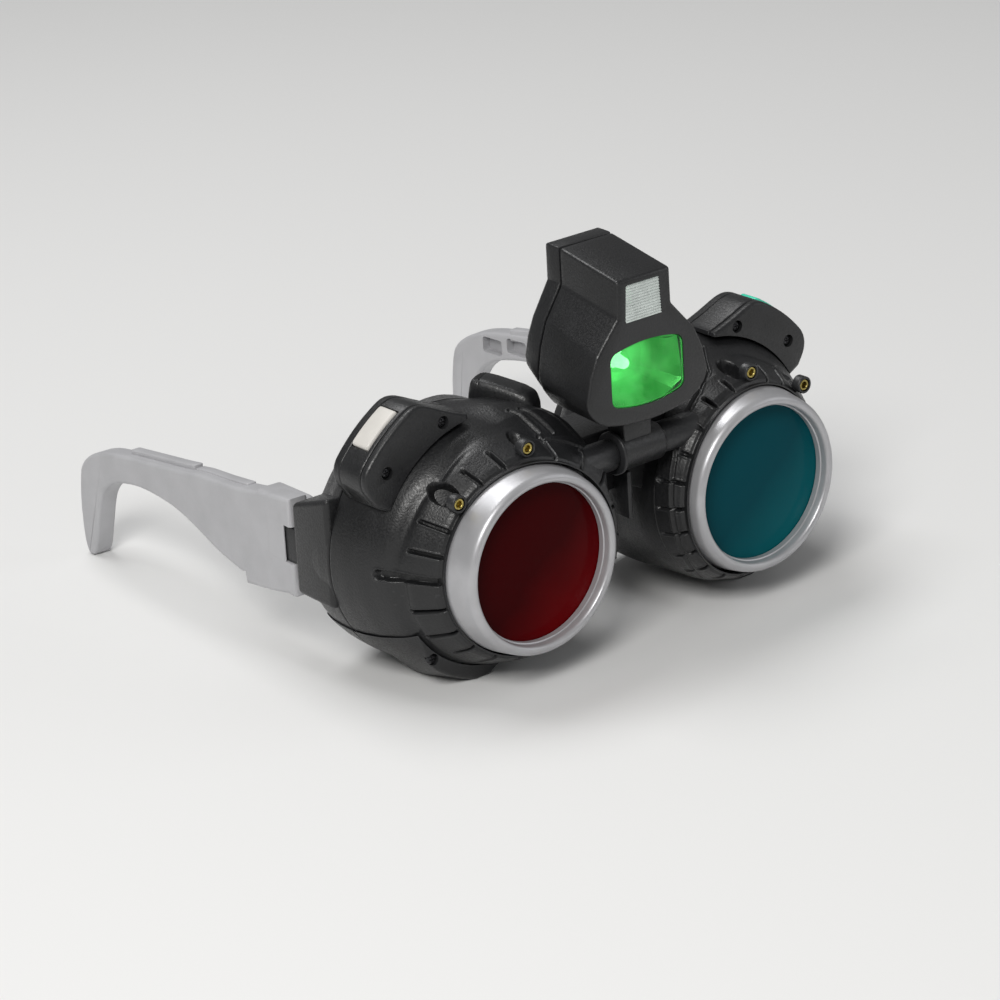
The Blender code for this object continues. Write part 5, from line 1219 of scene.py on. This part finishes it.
def noseBridge():
    form = bridgeForm
    outline = [(form["halfWidth"], form["top"]), (-form["halfWidth"], form["top"])]
    for share in np.linspace(-1, 1, 41):
        height = form["archFoot"] + (form["archTop"] - form["archFoot"]) * (1 - share * share)
        outline.append((share * form["halfWidth"], height))
    arch = slab("nose_arch", outline, form["start"], form["end"])
    finishPiece(roundEdges(arch, form["rounding"], 4), replaced=["nose_bridge"])
    half, front, low, high = form["rib"]
    rib = block("nose_rib", (-half, front, low), (half, form["start"] + 2, high))
    finishPiece(roundEdges(rib, 0.3, 2))


for prefix, side in sides.items():
    for makePieces in (frontShell, eyeletPieces, rearShell, hingeBlock, rearFoot, lensGroup, raisedPod,
                       coverPlate, pushButton, batteryDoor, browCover, armBody, armDetails):
        makePieces(prefix, side)
    print("pod and arm:", prefix)
for makePieces in (lampShells, lampWindows, reflectorFinish, reflectorPieces, barrelPieces, noseBridge):
    makePieces()
print("lamp and bridge")

for node in frame["nodes"].values():
    for holder in node.material_slots:
        holder.material = finishes[holder.material.name.split(".")[0]]
    node.data.shade_smooth()
    node.data.set_sharp_from_angle(angle=math.radians(35))
print("carried-over nodes finished")


# Floor, light and camera

studio = {
    "floorSize": 9.0, "floorColour": (0.80, 0.80, 0.795), "floorRoughness": 0.75, "floorShade": 0.985,
    "sky": (1.0, 1.0, 1.0), "skyStrength": 0.22,
    "lamps": (
        # name, place, aim, size across and up, power in watts, colour
        ("key", (-0.95, -0.75, 1.05), (0.0, -0.03, 0.06), (0.55, 0.55), 15.0, (1.0, 0.99, 0.97)),
        ("fill", (1.1, -0.9, 0.6), (0.0, -0.05, 0.05), (1.0, 0.8), 2.5, (0.97, 0.98, 1.0)),
        ("top", (-0.1, 0.45, 1.2), (0.0, 0.0, 0.05), (0.8, 0.5), 7.5, (1.0, 1.0, 1.0)),
    ),
}
view = {
    "place": (-0.6640, -0.87644, 0.4471), "lens": 144.0, "sensor": 36.0, "clip": (0.05, 50),
    "across": (0.77552, -0.62878, -0.05658), "up": (0.26997, 0.24929, 0.93004),
    "back": (-0.57068, -0.73654, 0.36308),
}


def putInScene(name, data):
    thing = bpy.data.objects.new("studio_" + name, data)
    bpy.context.scene.collection.objects.link(thing)
    return thing


def addFloor():
    size, colour = studio["floorSize"] / 2, studio["floorColour"]
    mesh = bpy.data.meshes.new("studio_floor")
    mesh.from_pydata([(x, y, 0) for x, y in rectangle(-size, size, -size, size)], [], [(0, 1, 2, 3)])
    tree, shader, coords = startFinish("floor", colour, studio["floorRoughness"], gloss=0.1)
    tone = spread(tree, speckle(tree, coords, 900.0, 2.0), 0, 1)
    paint(tree, shader, colour=blendColours(tree, tone, scaled(colour, studio["floorShade"]), colour))
    mesh.materials.append(finishes["floor"])
    putInScene("floor", mesh)


def addLights():
    for name, place, aim, size, power, colour in studio["lamps"]:
        data = bpy.data.lights.new("studio_" + name, "AREA")
        data.shape = "RECTANGLE"
        data.size, data.size_y = size
        data.energy, data.color = power, colour
        light = putInScene(name, data)
        light.location = place
        light.rotation_euler = (Vector(aim) - Vector(place)).to_track_quat("-Z", "Y").to_euler()
    sky = bpy.data.worlds.new("studio_sky")
    sky.use_nodes = True
    tree = sky.node_tree
    ground = tree.nodes["Background"]
    ground.inputs["Color"].default_value = (*studio["sky"], 1)
    rays = addNode(tree, "ShaderNodeLightPath").outputs["Is Camera Ray"]
    strength = addNode(tree, "ShaderNodeMix", data_type="FLOAT")
    tree.links.new(rays, strength.inputs["Factor"])
    feed(tree, strength.inputs[2:4], (studio["skyStrength"], 1.0))
    tree.links.new(strength.outputs[0], ground.inputs["Strength"])
    bpy.context.scene.world = sky


def addCamera():
    data = bpy.data.cameras.new("studio_camera")
    data.lens, data.sensor_width = view["lens"], view["sensor"]
    data.clip_start, data.clip_end = view["clip"]
    camera = putInScene("camera", data)
    turn = Matrix((view["across"], view["up"], view["back"])).transposed()
    camera.matrix_world = Matrix.Translation(view["place"]) @ turn.to_4x4()
    bpy.context.scene.camera = camera


addFloor()
addLights()
addCamera()
bpy.context.scene.view_settings.view_transform = "Standard"
print("floor, light and camera")

bpy.context.view_layer.update()
